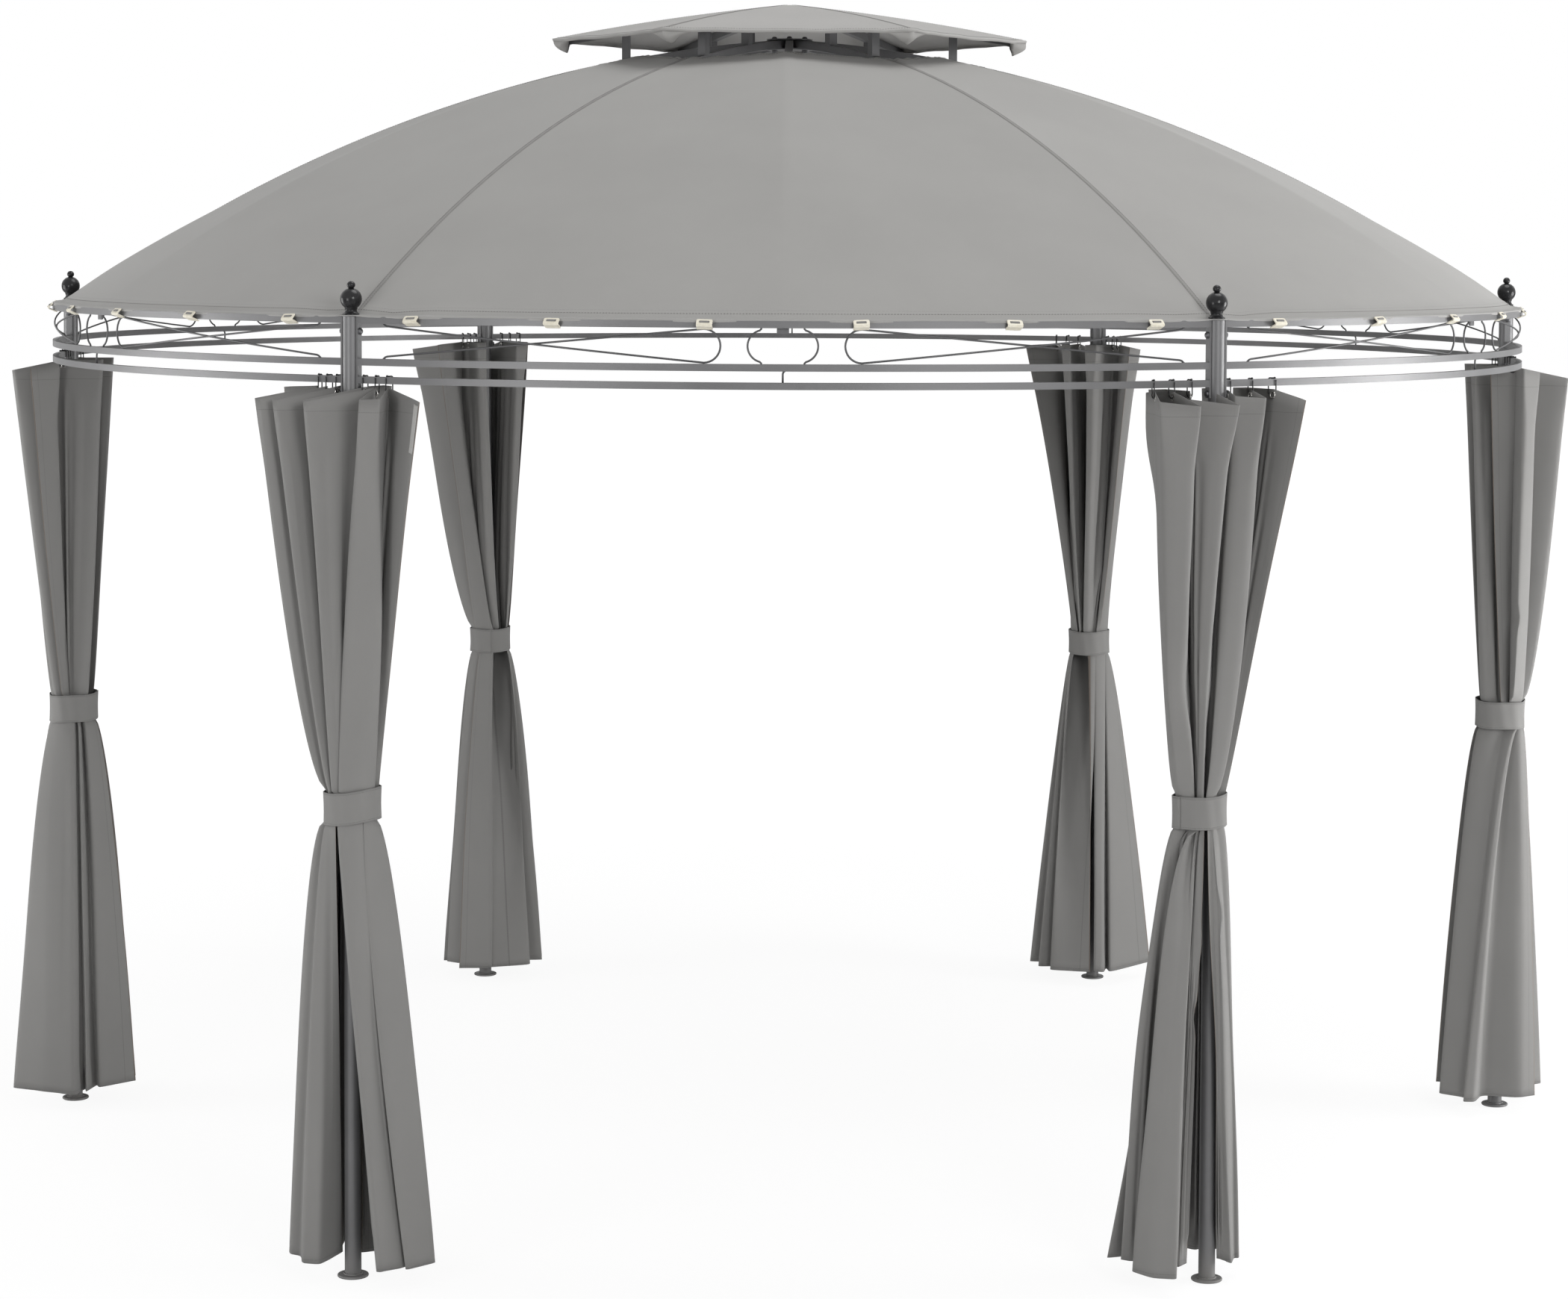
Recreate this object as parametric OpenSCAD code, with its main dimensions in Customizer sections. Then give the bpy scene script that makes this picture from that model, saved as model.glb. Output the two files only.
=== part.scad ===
// Round garden pavilion: six tubular posts, curved bay frames with wire scrollwork,
// twelve rolled roof ribs, a domed canopy with a vented cap, and six tied curtains.
// Millimetres, +Z up, origin on the ground below the apex. Post 1 stands on +X.

/* [Ring and posts] */
// Radius of the circle that the posts and rails stand on
ring_r = 1743; // [1400:1:2200]
// Height of a post, from the ground to its top
post_h = 1960; // [1900:1:2200]
// Outer diameter of a post tube
post_d = 34; // [30:0.5:45]
// Wall of a post tube
post_wall = 1.2; // [0.8:0.1:3]
// Diameter of the round foot plate
foot_d = 64; // [60:1:110]
// Thickness of the foot plate, whose edge is fully rounded
foot_t = 6; // [4:0.5:8]
// Diameter of a peg hole in the foot plate
peg_hole_d = 5; // [3:0.5:6]
// Circle that the two peg holes of a foot lie on
peg_circle_d = 49; // [46:0.5:54]

/* [Bay frames] */
// Height and depth of the square rail tubes
rail = 14; // [10:0.5:18]
// Centre of the middle rail below the centre of the top rail
mid_drop = 84.5; // [70:0.5:110]
// Centre of the low rail below the centre of the middle rail
low_drop = 36; // [30:0.5:50]
// Thickness of the flat end bars that bolt to the posts
end_bar_t = 4; // [3:0.5:8]
// How far an end bar reaches below the low rail
end_bar_drop = 22; // [5:1:40]

/* [Scrollwork] */
// Diameter of the scroll wire
wire_d = 4; // [3:0.5:6]
// Distance from the bay's centre to the centre of each arc of the middle ring
ring_arc_s = 36; // [25:1:60]
// Distance from the bay's centre to the centre of a hairpin's bend
hairpin_s = 155; // [125:1:220]
// Distance from the bay's centre to the ends of a hairpin
hairpin_end_s = 832; // [500:1:860]
// Height of the short feet that hold the wire off the rails
wire_foot = 3; // [2:0.5:8]

/* [Roof ribs] */
// Width and depth of the square rib tubes
rib = 18; // [12:0.5:24]
// Radius that the ribs are rolled to
rib_bend_r = 3340; // [2400:10:6000]
// How far the ribs' top line rises above the posts at the centre of the roof
roof_rise = 638; // [540:1:840]
// Diameter of the two hub plates that clamp the ribs
hub_d = 110; // [90:1:160]
// Thickness of a hub plate
hub_t = 3; // [2:0.5:6]

/* [Vent cap] */
// Distance from the centre to a corner of the cap
cap_r = 573; // [480:1:700]
// How far the cap rafters' top line rises above the ribs at the centre
cap_rise = 81; // [62:1:200]
// How far the cap rafters fall from the centre to a corner
cap_fall = 85; // [50:1:110]
// Radius that the cap rafters are rolled to
cap_bend_r = 6000; // [3000:100:20000]
// Distance from the centre to the outer struts
outer_strut_r = 395; // [330:1:440]
// Distance from the centre to the inner struts
inner_strut_r = 200; // [120:1:280]
// Width of a strut
strut = 20; // [12:0.5:26]
// How far the middle of each cap edge is pulled in
cap_edge_sag = 16; // [0:1:40]

/* [Canopy] */
// Thickness of the canopy and cap cloth
cloth_t = 2.5; // [1:0.5:6]
// Distance from the centre to a corner of the vent opening
vent_r = 460; // [420:1:480]

/* [Finials] */
// Diameter of a finial's ball
ball_d = 44; // [36:1:60]
// Diameter of the bead on top
bead_d = 17; // [12:1:24]
// Height of a finial's foot and neck, below its ball
finial_foot_h = 13; // [10:0.5:20]

/* [Canopy clips] */
// Width of a clip
clip_w = 32; // [20:1:40]
// Thickness of a clip's plate
clip_t = 2.6; // [1.5:0.1:4]
// Depth of a clip in front of the rail
clip_depth = 11; // [8:0.5:16]
// Clips in each bay
clips_per_bay = 6; // [2:1:8]

/* [Curtains] */
// Height of the hem above the ground
hem_z = 40; // [20:1:120]
// Half of a curtain's width at its head
head_half = 165; // [120:1:220]
// Half of its depth at its head
head_depth = 118; // [80:1:160]
// How far its head hangs out from the post
head_out = 24; // [0:1:40]
// Radius of the gathered waist
waist_r = 57; // [45:1:80]
// Radius of the curtain at its hem
hem_r = 152; // [110:1:200]
// Middle height of the tie band
tie_z = 970; // [800:1:1200]
// Height of the tie band
tie_h = 66; // [40:1:90]
// Thickness of the tie band
tie_t = 2; // [1:0.5:4]
// Pleats round a gathered curtain
pleats = 8; // [6:1:12]

/* [Curtain hooks] */
// Diameter of a hook's wire
hook_wire = 2.6; // [2:0.1:4]
// Diameter of the ball on a hook's end
hook_ball_d = 5; // [4:0.5:7]
// Depth of a hook's ring, across its wire's centres
hook_depth = 18; // [17:0.5:24]
// Hooks on each side of a post
hooks_per_side = 3; // [1:1:3]

/* [Hidden] */

$fn = 64;
seat = 0.3;                       // clearance between pieces that rest on each other
sector = 60;                      // angle of one bay
post_r = post_d / 2;
rail_in = ring_r - rail / 2;
rail_out = ring_r + rail / 2;
top_rail_z = post_h - rail / 2;
mid_rail_z = top_rail_z - mid_drop;
low_rail_z = mid_rail_z - low_drop;
end_bar_z = low_rail_z - rail / 2 - end_bar_drop;
end_bar_angle = asin((post_r + seat + end_bar_t / 2) / ring_r);
rib_apex_z = post_h + roof_rise;
cap_apex_z = rib_apex_z + cap_rise;
cap_corner_z = cap_apex_z - cap_fall;
head_z = end_bar_z - 0.5;         // the gathered cloth hangs just clear of the end bars

steel = [0.39, 0.39, 0.40];
wire_grey = [0.22, 0.22, 0.23];
canopy_grey = [0.65, 0.64, 0.63];
curtain_grey = [0.48, 0.48, 0.47];
cream = [0.90, 0.88, 0.80];
gloss_black = [0.06, 0.06, 0.06];

// An arch is [centre_r, centre_z, bend_r]: its top line runs from the apex above the
// origin to a foot at (foot_r, foot_z), on an arc of radius bend_r.
function arch(foot_r, foot_z, apex_z, bend_r) =
    let (drop = foot_z - apex_z, chord = norm([foot_r, drop]),
         reach = sqrt(bend_r * bend_r - chord * chord / 4))
    [foot_r / 2 + reach * drop / chord, (foot_z + apex_z) / 2 - reach * foot_r / chord, bend_r];
function arch_z(a, r) = a[1] + sqrt(a[2] * a[2] - (r - a[0]) * (r - a[0]));
function arch_angle(a, r) = atan2(arch_z(a, r) - a[1], r - a[0]);

post_arch = arch(ring_r - post_r, post_h, rib_apex_z, rib_bend_r);
ridge_arch = arch(rail_in, post_h, rib_apex_z, rib_bend_r);
cap_arch = arch(cap_r, cap_corner_z, cap_apex_z, cap_bend_r);

rib_inner_r = rib / 2 / tan(sector / 4) + 2;   // where twelve ribs just clear each other
rafter = rib;
cap_hub_r = rafter / 2 / tan(sector / 2) + 7;  // the rafters end inside the cap's hub
cloth_z = post_h + seat;                       // underside of the cloth on the posts

// ---------------------------------------------------------------- posts

module foot_plate() {
    edge = foot_t / 2;
    rotate_extrude() {
        square([foot_d / 2 - edge, foot_t]);
        translate([foot_d / 2 - edge, edge]) intersection() {
            circle(r = edge);
            translate([0, -edge]) square(foot_t);
        }
    }
}

module post(i) {
    color(steel) rotate(sector * (i - 1)) translate([ring_r, 0, 0]) {
        difference() {
            union() {
                foot_plate();
                cylinder(d = post_d, h = post_h);
            }
            translate([0, 0, foot_t]) cylinder(r = post_r - post_wall, h = post_h);
            for (side = [-1, 1])
                translate([0, side * peg_circle_d / 2, -1]) cylinder(d = peg_hole_d, h = foot_t + 2);
        }
    }
}

// ---------------------------------------------------------------- bay frames

module rail_arc(z) {
    half = sector / 2 - end_bar_angle;
    rotate(-half) rotate_extrude(angle = 2 * half, $fn = 180)
        translate([rail_in, z - rail / 2]) square(rail);
}

module bay_frame(i) {
    color(steel) rotate(sector * (i - 0.5)) {
        for (z = [top_rail_z, mid_rail_z, low_rail_z]) rail_arc(z);
        for (side = [-1, 1]) rotate(side * (sector / 2 - end_bar_angle))
            translate([rail_in, -end_bar_t / 2, end_bar_z])
                cube([rail, end_bar_t, post_h - end_bar_z]);
    }
}

// ---------------------------------------------------------------- scrollwork

wire_sides = 6;
gap_top = top_rail_z - rail / 2;               // underside of the top rail
gap_low = mid_rail_z + rail / 2;               // upper side of the middle rail
gap_mid = (gap_top + gap_low) / 2;
bend_r = (gap_top - gap_low - wire_d) / 2 - seat;
// The legs of a hairpin pass each other side by side where they cross.
leg_pass = wire_d / 2 + seat / 2;

// A point on the ring: s along it from the bay's centre, at height z, out by off.
function on_ring(s, z, off = 0) =
    let (a = s / ring_r * 180 / PI) [(ring_r + off) * cos(a), (ring_r + off) * sin(a), z];
function unit(v) = v / norm(v);

// A wire of a given diameter swept along points that lie on the ring.
module wire(pts) {
    n = len(pts);
    rings = [for (i = [0:n - 1])
        let (t = unit(pts[min(i + 1, n - 1)] - pts[max(i - 1, 0)]),
             out = unit([pts[i][0], pts[i][1], 0]),
             u = unit(out - (out * t) * t), v = cross(t, u))
        for (k = [0:wire_sides - 1])
            let (a = 360 * k / wire_sides) pts[i] + wire_d / 2 * (cos(a) * u + sin(a) * v)];
    walls = [for (i = [0:n - 2], k = [0:wire_sides - 1])
        let (a = i * wire_sides + k, b = i * wire_sides + (k + 1) % wire_sides)
        for (f = [[a, a + wire_sides, b + wire_sides], [a, b + wire_sides, b]]) f];
    ends = [[for (k = [0:wire_sides - 1]) k],
            [for (k = [wire_sides - 1:-1:0]) (n - 1) * wire_sides + k]];
    polyhedron(rings, concat(walls, ends));
}

// One side of the ring in the middle of the bay: an arc on two short feet.
function ring_side(side) = let (reach = 74, foot_s = ring_arc_s + bend_r * cos(reach) - 3) concat(
    [on_ring(side * foot_s, gap_top), on_ring(side * foot_s, gap_top - wire_foot / 2)],
    [for (a = [reach:-reach / 4.5:-reach - 1])
        on_ring(side * (ring_arc_s + bend_r * cos(a)), gap_mid + (bend_r - 1) * sin(a))],
    [on_ring(side * foot_s, gap_low + wire_foot / 2), on_ring(side * foot_s, gap_low)]);

// A hairpin: a leg down from the top rail, the bend, and a leg back up from it.
function hairpin(side) =
    let (legs = 8, far = hairpin_end_s, near = hairpin_s,
         high = gap_top - wire_foot - wire_d / 2, low = gap_low + wire_foot + wire_d / 2)
    concat(
        [on_ring(side * far, gap_top), on_ring(side * far, gap_top - wire_foot / 2)],
        [for (k = [0:legs - 1]) let (f = k / legs)
            on_ring(side * (far - 8 + (near - far + 8) * f), high + (gap_mid - bend_r - high) * f,
                    leg_pass * sin(180 * f))],
        [for (a = [-90:-22.5:-270])
            on_ring(side * (near + bend_r * cos(a)), gap_mid + bend_r * sin(a))],
        [for (k = [1:legs]) let (f = k / legs)
            on_ring(side * (near + (far - 8 - near) * f), gap_mid + bend_r + (low - gap_mid - bend_r) * f,
                    -leg_pass * sin(180 * f))],
        [on_ring(side * far, gap_low + wire_foot / 2), on_ring(side * far, gap_low)]);

module scrollwork(i) {
    color(wire_grey) rotate(sector * (i - 0.5)) {
        for (side = [-1, 1]) {
            wire(ring_side(side));
            wire(hairpin(side));
        }
        translate([ring_r, 0, low_rail_z + rail / 2])
            cylinder(d = wire_d, h = low_drop - rail, $fn = 24);
    }
}

// ---------------------------------------------------------------- roof ribs

// A square tube on an arch, from radius r_in to radius r_out, in the X-Z plane.
module arch_tube(a, r_in, r_out, size) {
    from = arch_angle(a, r_out);
    translate([a[0], 0, a[1]]) rotate([90, 0, 0]) rotate(from)
        rotate_extrude(angle = arch_angle(a, r_in) - from, $fn = 360)
            translate([a[2] - size, -size / 2]) square(size);
}

module post_rib(i) {
    color(steel) rotate(sector * (i - 1)) difference() {
        arch_tube(post_arch, rib_inner_r, ring_r, rib);
        translate([ring_r, 0, 0]) cylinder(r = post_r + seat, h = 2 * post_h);
    }
}

module ridge_rib(i) {
    plate_t = 2.5;
    color(steel) rotate(sector * (i - 0.5)) intersection() {
        union() {
            arch_tube(ridge_arch, rib_inner_r, ring_r, rib);
            translate([rail_in - plate_t - seat, -rib / 2 - 3, top_rail_z - rail - 4])
                cube([2 * plate_t, rib + 6, rail + 9]);
        }
        cylinder(r = rail_in - seat, h = 2 * post_h);
    }
}

module roof_hub() {
    top = arch_z(post_arch, rib_inner_r) + seat;
    low = arch_z(post_arch, hub_d / 2) - rib - seat;
    color(steel) {
        translate([0, 0, top]) cylinder(d = hub_d, h = hub_t);
        translate([0, 0, low - hub_t]) cylinder(d = hub_d, h = hub_t);
        translate([0, 0, low - hub_t]) cylinder(r = rib_inner_r - 6, h = top - low + 2 * hub_t);
    }
}

// ---------------------------------------------------------------- vent cap frame

// One arm: a rolled rafter on two struts that stand on a post rib.
module cap_arm() {
    rotate([90, 0, 0]) linear_extrude(strut, center = true) difference() {
        for (r = [inner_strut_r, outer_strut_r])
            translate([r - strut / 2, arch_z(post_arch, r) - rib])
                square([strut, arch_z(cap_arch, r) - arch_z(post_arch, r) + rib - rafter / 2]);
        translate([post_arch[0], post_arch[1]]) circle(r = post_arch[2] + seat, $fn = 360);
    }
    arch_tube(cap_arch, cap_hub_r - 4, cap_r - 12, rafter);
}

module cap_frame() {
    rim_z = arch_z(cap_arch, cap_hub_r);
    color(steel) {
        for (i = [0:5]) rotate(sector * i) cap_arm();
        translate([0, 0, rim_z - rafter - hub_t]) cylinder(r = cap_hub_r, h = rafter + hub_t - 0.5);
    }
}

// ---------------------------------------------------------------- cloth shells

// A closed sheet over a grid of points, rows by columns, that closes on itself in the
// columns' direction: the points are its underside, and t is its thickness.
module cloth(grid, t) {
    rows = len(grid);
    cols = len(grid[0]);
    size = rows * cols;
    under = [for (row = grid, p = row) p];
    over = [for (p = under) p + [0, 0, t]];
    skin = [for (i = [0:rows - 2], j = [0:cols - 1])
        let (a = i * cols + j, b = i * cols + (j + 1) % cols)
        for (f = [[a, b, b + cols], [a, b + cols, a + cols]]) f];
    rims = [for (i = [0, rows - 1], j = [0:cols - 1])
        let (a = i * cols + j, b = i * cols + (j + 1) % cols,
             quad = i == 0 ? [[a, b, b + size], [a, b + size, a + size]]
                           : [[a, a + size, b + size], [a, b + size, b]])
        for (f = quad) f];
    polyhedron(concat(under, over), concat(
        [for (f = skin) [f[2], f[1], f[0]]],
        [for (f = skin) f + [size, size, size]],
        rims));
}

function mix(a, b, f) = a + (b - a) * f;
function smooth(f) = let (c = min(max(f, 0), 1)) c * c * (3 - 2 * c);
function turn(p, a) = [p[0] * cos(a) - p[1] * sin(a), p[0] * sin(a) + p[1] * cos(a), p[2]];
// p moved outwards until it is as far from the centre as given, by a share of the way
function spread(p, r, share) = let (now = norm([p[0], p[1]]), f = 1 + (r / now - 1) * share)
    [p[0] * f, p[1] * f, p[2]];

between = [0.25, 0.5, 0.75];      // columns of cloth between two ribs
roof_steps = 7;
eave_r = rail_out + 0.5;
// A cloth row is straight between two points, so it is lifted by the arch's rise there.
function lift(step, bend) = seat + step * step / (8 * bend);
roof_lift = lift((ring_r - vent_r * cos(sector / 2)) / roof_steps, rib_bend_r);

// The cloth lies flat across the width of each rib, and spans straight to the next rib.
// Towards the eave it rounds out to the ring. k even is a post rib, k odd a ridge rib.
function roof_edge(k, t, side) =
    let (odd = k % 2 == 1, a = odd ? ridge_arch : post_arch,
         foot = odd ? rail_in : ring_r - post_r,
         r = mix(odd ? vent_r * cos(sector / 2) : vent_r, foot, min(t, 1)),
         out = t > 1 ? (odd ? eave_r : ring_r + post_r + 2) : r,
         z = t > 1 ? cloth_z : arch_z(a, r) + roof_lift)
    turn([out, side * (rib / 2 + 1), z], k * sector / 2);
function roof_span(k, t, f) =
    let (a = roof_edge(k, t, 1), b = roof_edge((k + 1) % 12, t, -1),
         straight = mix(a, b, f))
    spread(straight, t > 1 ? eave_r : mix(norm([a[0], a[1]]), norm([b[0], b[1]]), f),
           smooth((t - 0.45) / 0.5));
canopy_grid = [for (s = [0:roof_steps + 1]) let (t = s / roof_steps)
    [for (k = [0:11]) each [roof_edge(k, t, -1), roof_edge(k, t, 1),
                            for (f = between) roof_span(k, t, f)]]];

module canopy() {
    color(canopy_grey) cloth(canopy_grid, cloth_t);
}

cap_rows = [0.02, 0.3, 0.6, 0.85, 1];
cap_lift = lift(0.3 * cap_r, cap_bend_r);
function cap_edge(k, t, side) = let (r = cap_r * t)
    turn([r, side * (rafter / 2 + 1) * min(1, 4 * t), arch_z(cap_arch, r) + cap_lift], k * sector);
function cap_span(k, t, f) =
    let (p = mix(cap_edge(k, t, 1), cap_edge((k + 1) % 6, t, -1), f), r = norm([p[0], p[1]]))
    spread(p, r - cap_edge_sag * t * t * sin(180 * f), 1);
cap_grid = [for (t = cap_rows)
    [for (k = [0:5]) each [cap_edge(k, t, -1), cap_edge(k, t, 1), for (f = between) cap_span(k, t, f)]]];

module cap_canopy() {
    color(canopy_grey) cloth(cap_grid, cloth_t);
}

// ---------------------------------------------------------------- finials

module finial() {
    ball_z = finial_foot_h + ball_d / 2 - 3;
    cylinder(d = post_d, h = 3);
    translate([0, 0, 3]) cylinder(d1 = post_d - 2, d2 = 22, h = finial_foot_h - 7);
    cylinder(d = 22, h = ball_z);
    translate([0, 0, ball_z]) sphere(d = ball_d);
    translate([0, 0, ball_z + ball_d / 2 + bead_d / 2 - 3]) sphere(d = bead_d);
}

module finials() {
    color(gloss_black) for (i = [0:5]) rotate(sector * i)
        translate([ring_r, 0, cloth_z + cloth_t + seat]) finial();
}

// ---------------------------------------------------------------- canopy clips

// A bent plate in front of the top rail: a slotted frame, and a tongue under the rail.
module clip() {
    nose = [rail_out + clip_depth, post_h - rail * 0.4];
    head = [rail_out + clip_t + seat, post_h + 1];
    heel = [rail_out - 3, post_h - rail - clip_t - seat];
    rotate([90, 0, 0]) difference() {
        linear_extrude(clip_w, center = true) polygon([
            head, nose, heel, heel - [0, clip_t], nose + [clip_t, -clip_t * 0.3], head + [clip_t, 0]]);
        linear_extrude(clip_w * 0.62, center = true) translate(mix(head, nose, 0.5) + [clip_t, 0])
            rotate(-45) square([3 * clip_t, 5], center = true);
    }
}

module canopy_clips() {
    pitch = sector / clips_per_bay;
    color(cream) for (i = [0:5], k = [0:clips_per_bay - 1])
        rotate(sector * i + pitch * (k + 0.5)) clip();
}

// ---------------------------------------------------------------- curtains

tie_top = tie_z + tie_h / 2;
tie_low = tie_z - tie_h / 2;
curtain_bore = (post_r + 2 * seat) / cos(180 / (4 * pleats));

// How far the tied waist and the hem of each curtain have swung along the ring
waist_swing = [0, 20, -16, 0, 0, -26];
hem_swing = [0, 37, -25, 0, 20, -66];

// Half width, half depth, distance out from the post, and pleat depth at height z
function gather(z) =
    z > tie_top ? let (f = (z - tie_top) / (head_z - tie_top))
        [mix(waist_r, head_half, f), mix(waist_r, head_depth, f), head_out * f, mix(0.03, 0.16, sqrt(f))]
    : z < tie_low ? let (f = pow((tie_low - z) / (tie_low - hem_z), 0.8))
        [mix(waist_r, hem_r, f), mix(waist_r, hem_r, f), 0, mix(0.03, 0.14, f)]
    : [waist_r, waist_r, 0, 0.03];
function curtain_ring(z, i) =
    let (g = gather(z), n = 4 * pleats,
         swing = z > tie_top ? mix(waist_swing[i - 1], 0, (z - tie_top) / (head_z - tie_top))
               : mix(waist_swing[i - 1], hem_swing[i - 1], max(0, (tie_low - z) / (tie_low - hem_z))))
    [for (k = [0:n - 1]) let (a = 360 * k / n, fold = 1 - g[3] * (1 - cos(a * pleats)) / 2)
        [g[2] + g[1] * fold * cos(a), g[0] * fold * sin(a) + swing, z]];

// The gathered cloth round a post: an hourglass of pleats, hollow where the post stands.
module curtain(i) {
    n = 4 * pleats;
    heights = concat([for (f = [0:0.25:1]) mix(hem_z, tie_low, f)],
                     [for (f = [0:0.25:1]) mix(tie_top, head_z, f)]);
    outer = [for (z = heights) each curtain_ring(z, i)];
    inner = [for (z = [hem_z, head_z], k = [0:n - 1])
        let (a = 360 * k / n) [curtain_bore * cos(a), curtain_bore * sin(a), z]];
    rows = len(heights);
    base = rows * n;
    top = (rows - 1) * n;
    skin = [for (r = [0:rows - 2], k = [0:n - 1])
        let (a = r * n + k, b = r * n + (k + 1) % n)
        for (f = [[a, a + n, b + n], [a, b + n, b]]) f];
    bore = [for (k = [0:n - 1]) let (a = base + k, b = base + (k + 1) % n)
        for (f = [[a, b + n, a + n], [a, b, b + n]]) f];
    ends = [for (k = [0:n - 1]) let (j = (k + 1) % n)
        for (f = [[k, j, base + j], [k, base + j, base + k],
                  [top + k, base + n + j, top + j], [top + k, base + n + k, base + n + j]]) f];
    color(curtain_grey) rotate(sector * (i - 1)) translate([ring_r, 0, 0])
        polyhedron(concat(outer, inner), concat(skin, bore, ends));
}

module tie_bands() {
    color(curtain_grey) for (i = [0:5]) rotate(sector * i) translate([ring_r, waist_swing[i], tie_low])
        difference() {
            cylinder(r = waist_r + seat + tie_t, h = tie_h);
            translate([0, 0, -1]) cylinder(r = waist_r + seat, h = tie_h + 2);
        }
}

// ---------------------------------------------------------------- curtain hooks

// Where the hooks of each curtain have slid to, before and after its post: the first
// one's distance from the post's centre, and the distance between them.
hook_rows = [[[40, 38], [46, 30]], [[30, 18], [59, 35]], [[50, 26], [32, 19]],
             [[36, 30], [52, 34]], [[32, 24], [35, 29]], [[64, 43], [30, 58]]];

// A long wire ring round the low rail, open beside the ball on its end. It lies on the
// rail and reaches down to the cloth.
module hook() {
    leg_r = hook_depth / 2;
    bend = 3.5;
    top = rail / 2 + seat + hook_wire / 2;
    low = head_z + seat + hook_wire / 2 + leg_r - low_rail_z;
    $fn = 24;
    translate([bend - leg_r, 0, top]) rotate([0, 90, 0]) cylinder(d = hook_wire, h = 2 * (leg_r - bend));
    translate([leg_r - bend, 0, top]) sphere(d = hook_ball_d);
    translate([bend - leg_r, 0, top - bend]) rotate([90, 0, 0]) rotate(90)
        rotate_extrude(angle = 90, $fn = 32) translate([bend, 0]) circle(d = hook_wire);
    translate([-leg_r, 0, low]) cylinder(d = hook_wire, h = top - bend - low);
    translate([0, 0, low]) rotate([90, 0, 0]) rotate(180)
        rotate_extrude(angle = 180, $fn = 32) translate([leg_r, 0]) circle(d = hook_wire);
    translate([leg_r, 0, low]) cylinder(d = hook_wire, h = top - bend - low);
}

module curtain_hooks() {
    color(gloss_black) for (i = [0:5], side = [0, 1], k = [0:hooks_per_side - 1])
        let (row = hook_rows[i][side], along = row[0] + k * row[1], skew = 8 * k * cos(180 * (i + k + side)))
        rotate(sector * i + (2 * side - 1) * asin(along / ring_r))
            translate([ring_r, 0, low_rail_z]) rotate(skew) hook();
}

// ---------------------------------------------------------------- assembly

post(1);  // post_1
post(2);  // post_2
post(3);  // post_3
post(4);  // post_4
post(5);  // post_5
post(6);  // post_6
bay_frame(1);  // bay_frame_1
bay_frame(2);  // bay_frame_2
bay_frame(3);  // bay_frame_3
bay_frame(4);  // bay_frame_4
bay_frame(5);  // bay_frame_5
bay_frame(6);  // bay_frame_6
scrollwork(1);  // scrollwork_1
scrollwork(2);  // scrollwork_2
scrollwork(3);  // scrollwork_3
scrollwork(4);  // scrollwork_4
scrollwork(5);  // scrollwork_5
scrollwork(6);  // scrollwork_6
post_rib(1);  // post_rib_1
post_rib(2);  // post_rib_2
post_rib(3);  // post_rib_3
post_rib(4);  // post_rib_4
post_rib(5);  // post_rib_5
post_rib(6);  // post_rib_6
ridge_rib(1);  // ridge_rib_1
ridge_rib(2);  // ridge_rib_2
ridge_rib(3);  // ridge_rib_3
ridge_rib(4);  // ridge_rib_4
ridge_rib(5);  // ridge_rib_5
ridge_rib(6);  // ridge_rib_6
curtain(1);  // curtain_1
curtain(2);  // curtain_2
curtain(3);  // curtain_3
curtain(4);  // curtain_4
curtain(5);  // curtain_5
curtain(6);  // curtain_6
roof_hub();
cap_frame();
canopy();
cap_canopy();
finials();
tie_bands();
curtain_hooks();
canopy_clips();
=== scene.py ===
from math import atan2, copysign, cos, degrees, exp, hypot, pi, radians, sin, sqrt

import bpy
import numpy as np
from mathutils import Matrix, Vector


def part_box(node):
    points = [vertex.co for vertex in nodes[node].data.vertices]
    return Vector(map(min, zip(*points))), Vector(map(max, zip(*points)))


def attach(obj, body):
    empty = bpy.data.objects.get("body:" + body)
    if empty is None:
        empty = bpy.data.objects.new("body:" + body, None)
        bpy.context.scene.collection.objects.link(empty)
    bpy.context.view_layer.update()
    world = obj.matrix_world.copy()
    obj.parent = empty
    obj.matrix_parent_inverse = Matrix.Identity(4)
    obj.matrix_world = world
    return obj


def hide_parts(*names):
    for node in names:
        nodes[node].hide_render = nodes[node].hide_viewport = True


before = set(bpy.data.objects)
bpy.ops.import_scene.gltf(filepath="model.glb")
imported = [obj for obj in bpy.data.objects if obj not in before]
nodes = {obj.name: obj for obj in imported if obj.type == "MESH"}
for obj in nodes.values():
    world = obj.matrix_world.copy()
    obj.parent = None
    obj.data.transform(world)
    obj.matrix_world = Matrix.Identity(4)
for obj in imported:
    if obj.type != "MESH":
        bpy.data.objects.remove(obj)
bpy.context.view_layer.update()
scene = bpy.context.scene
scene.view_settings.view_transform = "Standard"

# ---------------------------------------------------------------- camera
# A long lens at head height in front of one bay, about nine metres off, level with
# the middle of the dome and shifted down to take in the feet.

lens = bpy.data.cameras.new("camera")
lens.lens = 83.46
lens.sensor_width = 36
lens.shift_x, lens.shift_y = -0.0167, -0.1429
lens.clip_start, lens.clip_end = 0.1, 200
camera = bpy.data.objects.new("camera", lens)
camera.location = (0.054, -8.831, 2.1338)
camera.rotation_euler = (
    Matrix.Rotation(pi / 2 - 0.0532, 3, "X") @ Matrix.Rotation(0.0046, 3, "Z")
).to_euler()
scene.collection.objects.link(camera)
scene.camera = camera

# ---------------------------------------------------------------- studio
# A white sweep: the floor shows white with the shadow left in it, the world is white to
# the camera and to reflections, and five soft boxes and the sky of the room light it.


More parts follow.
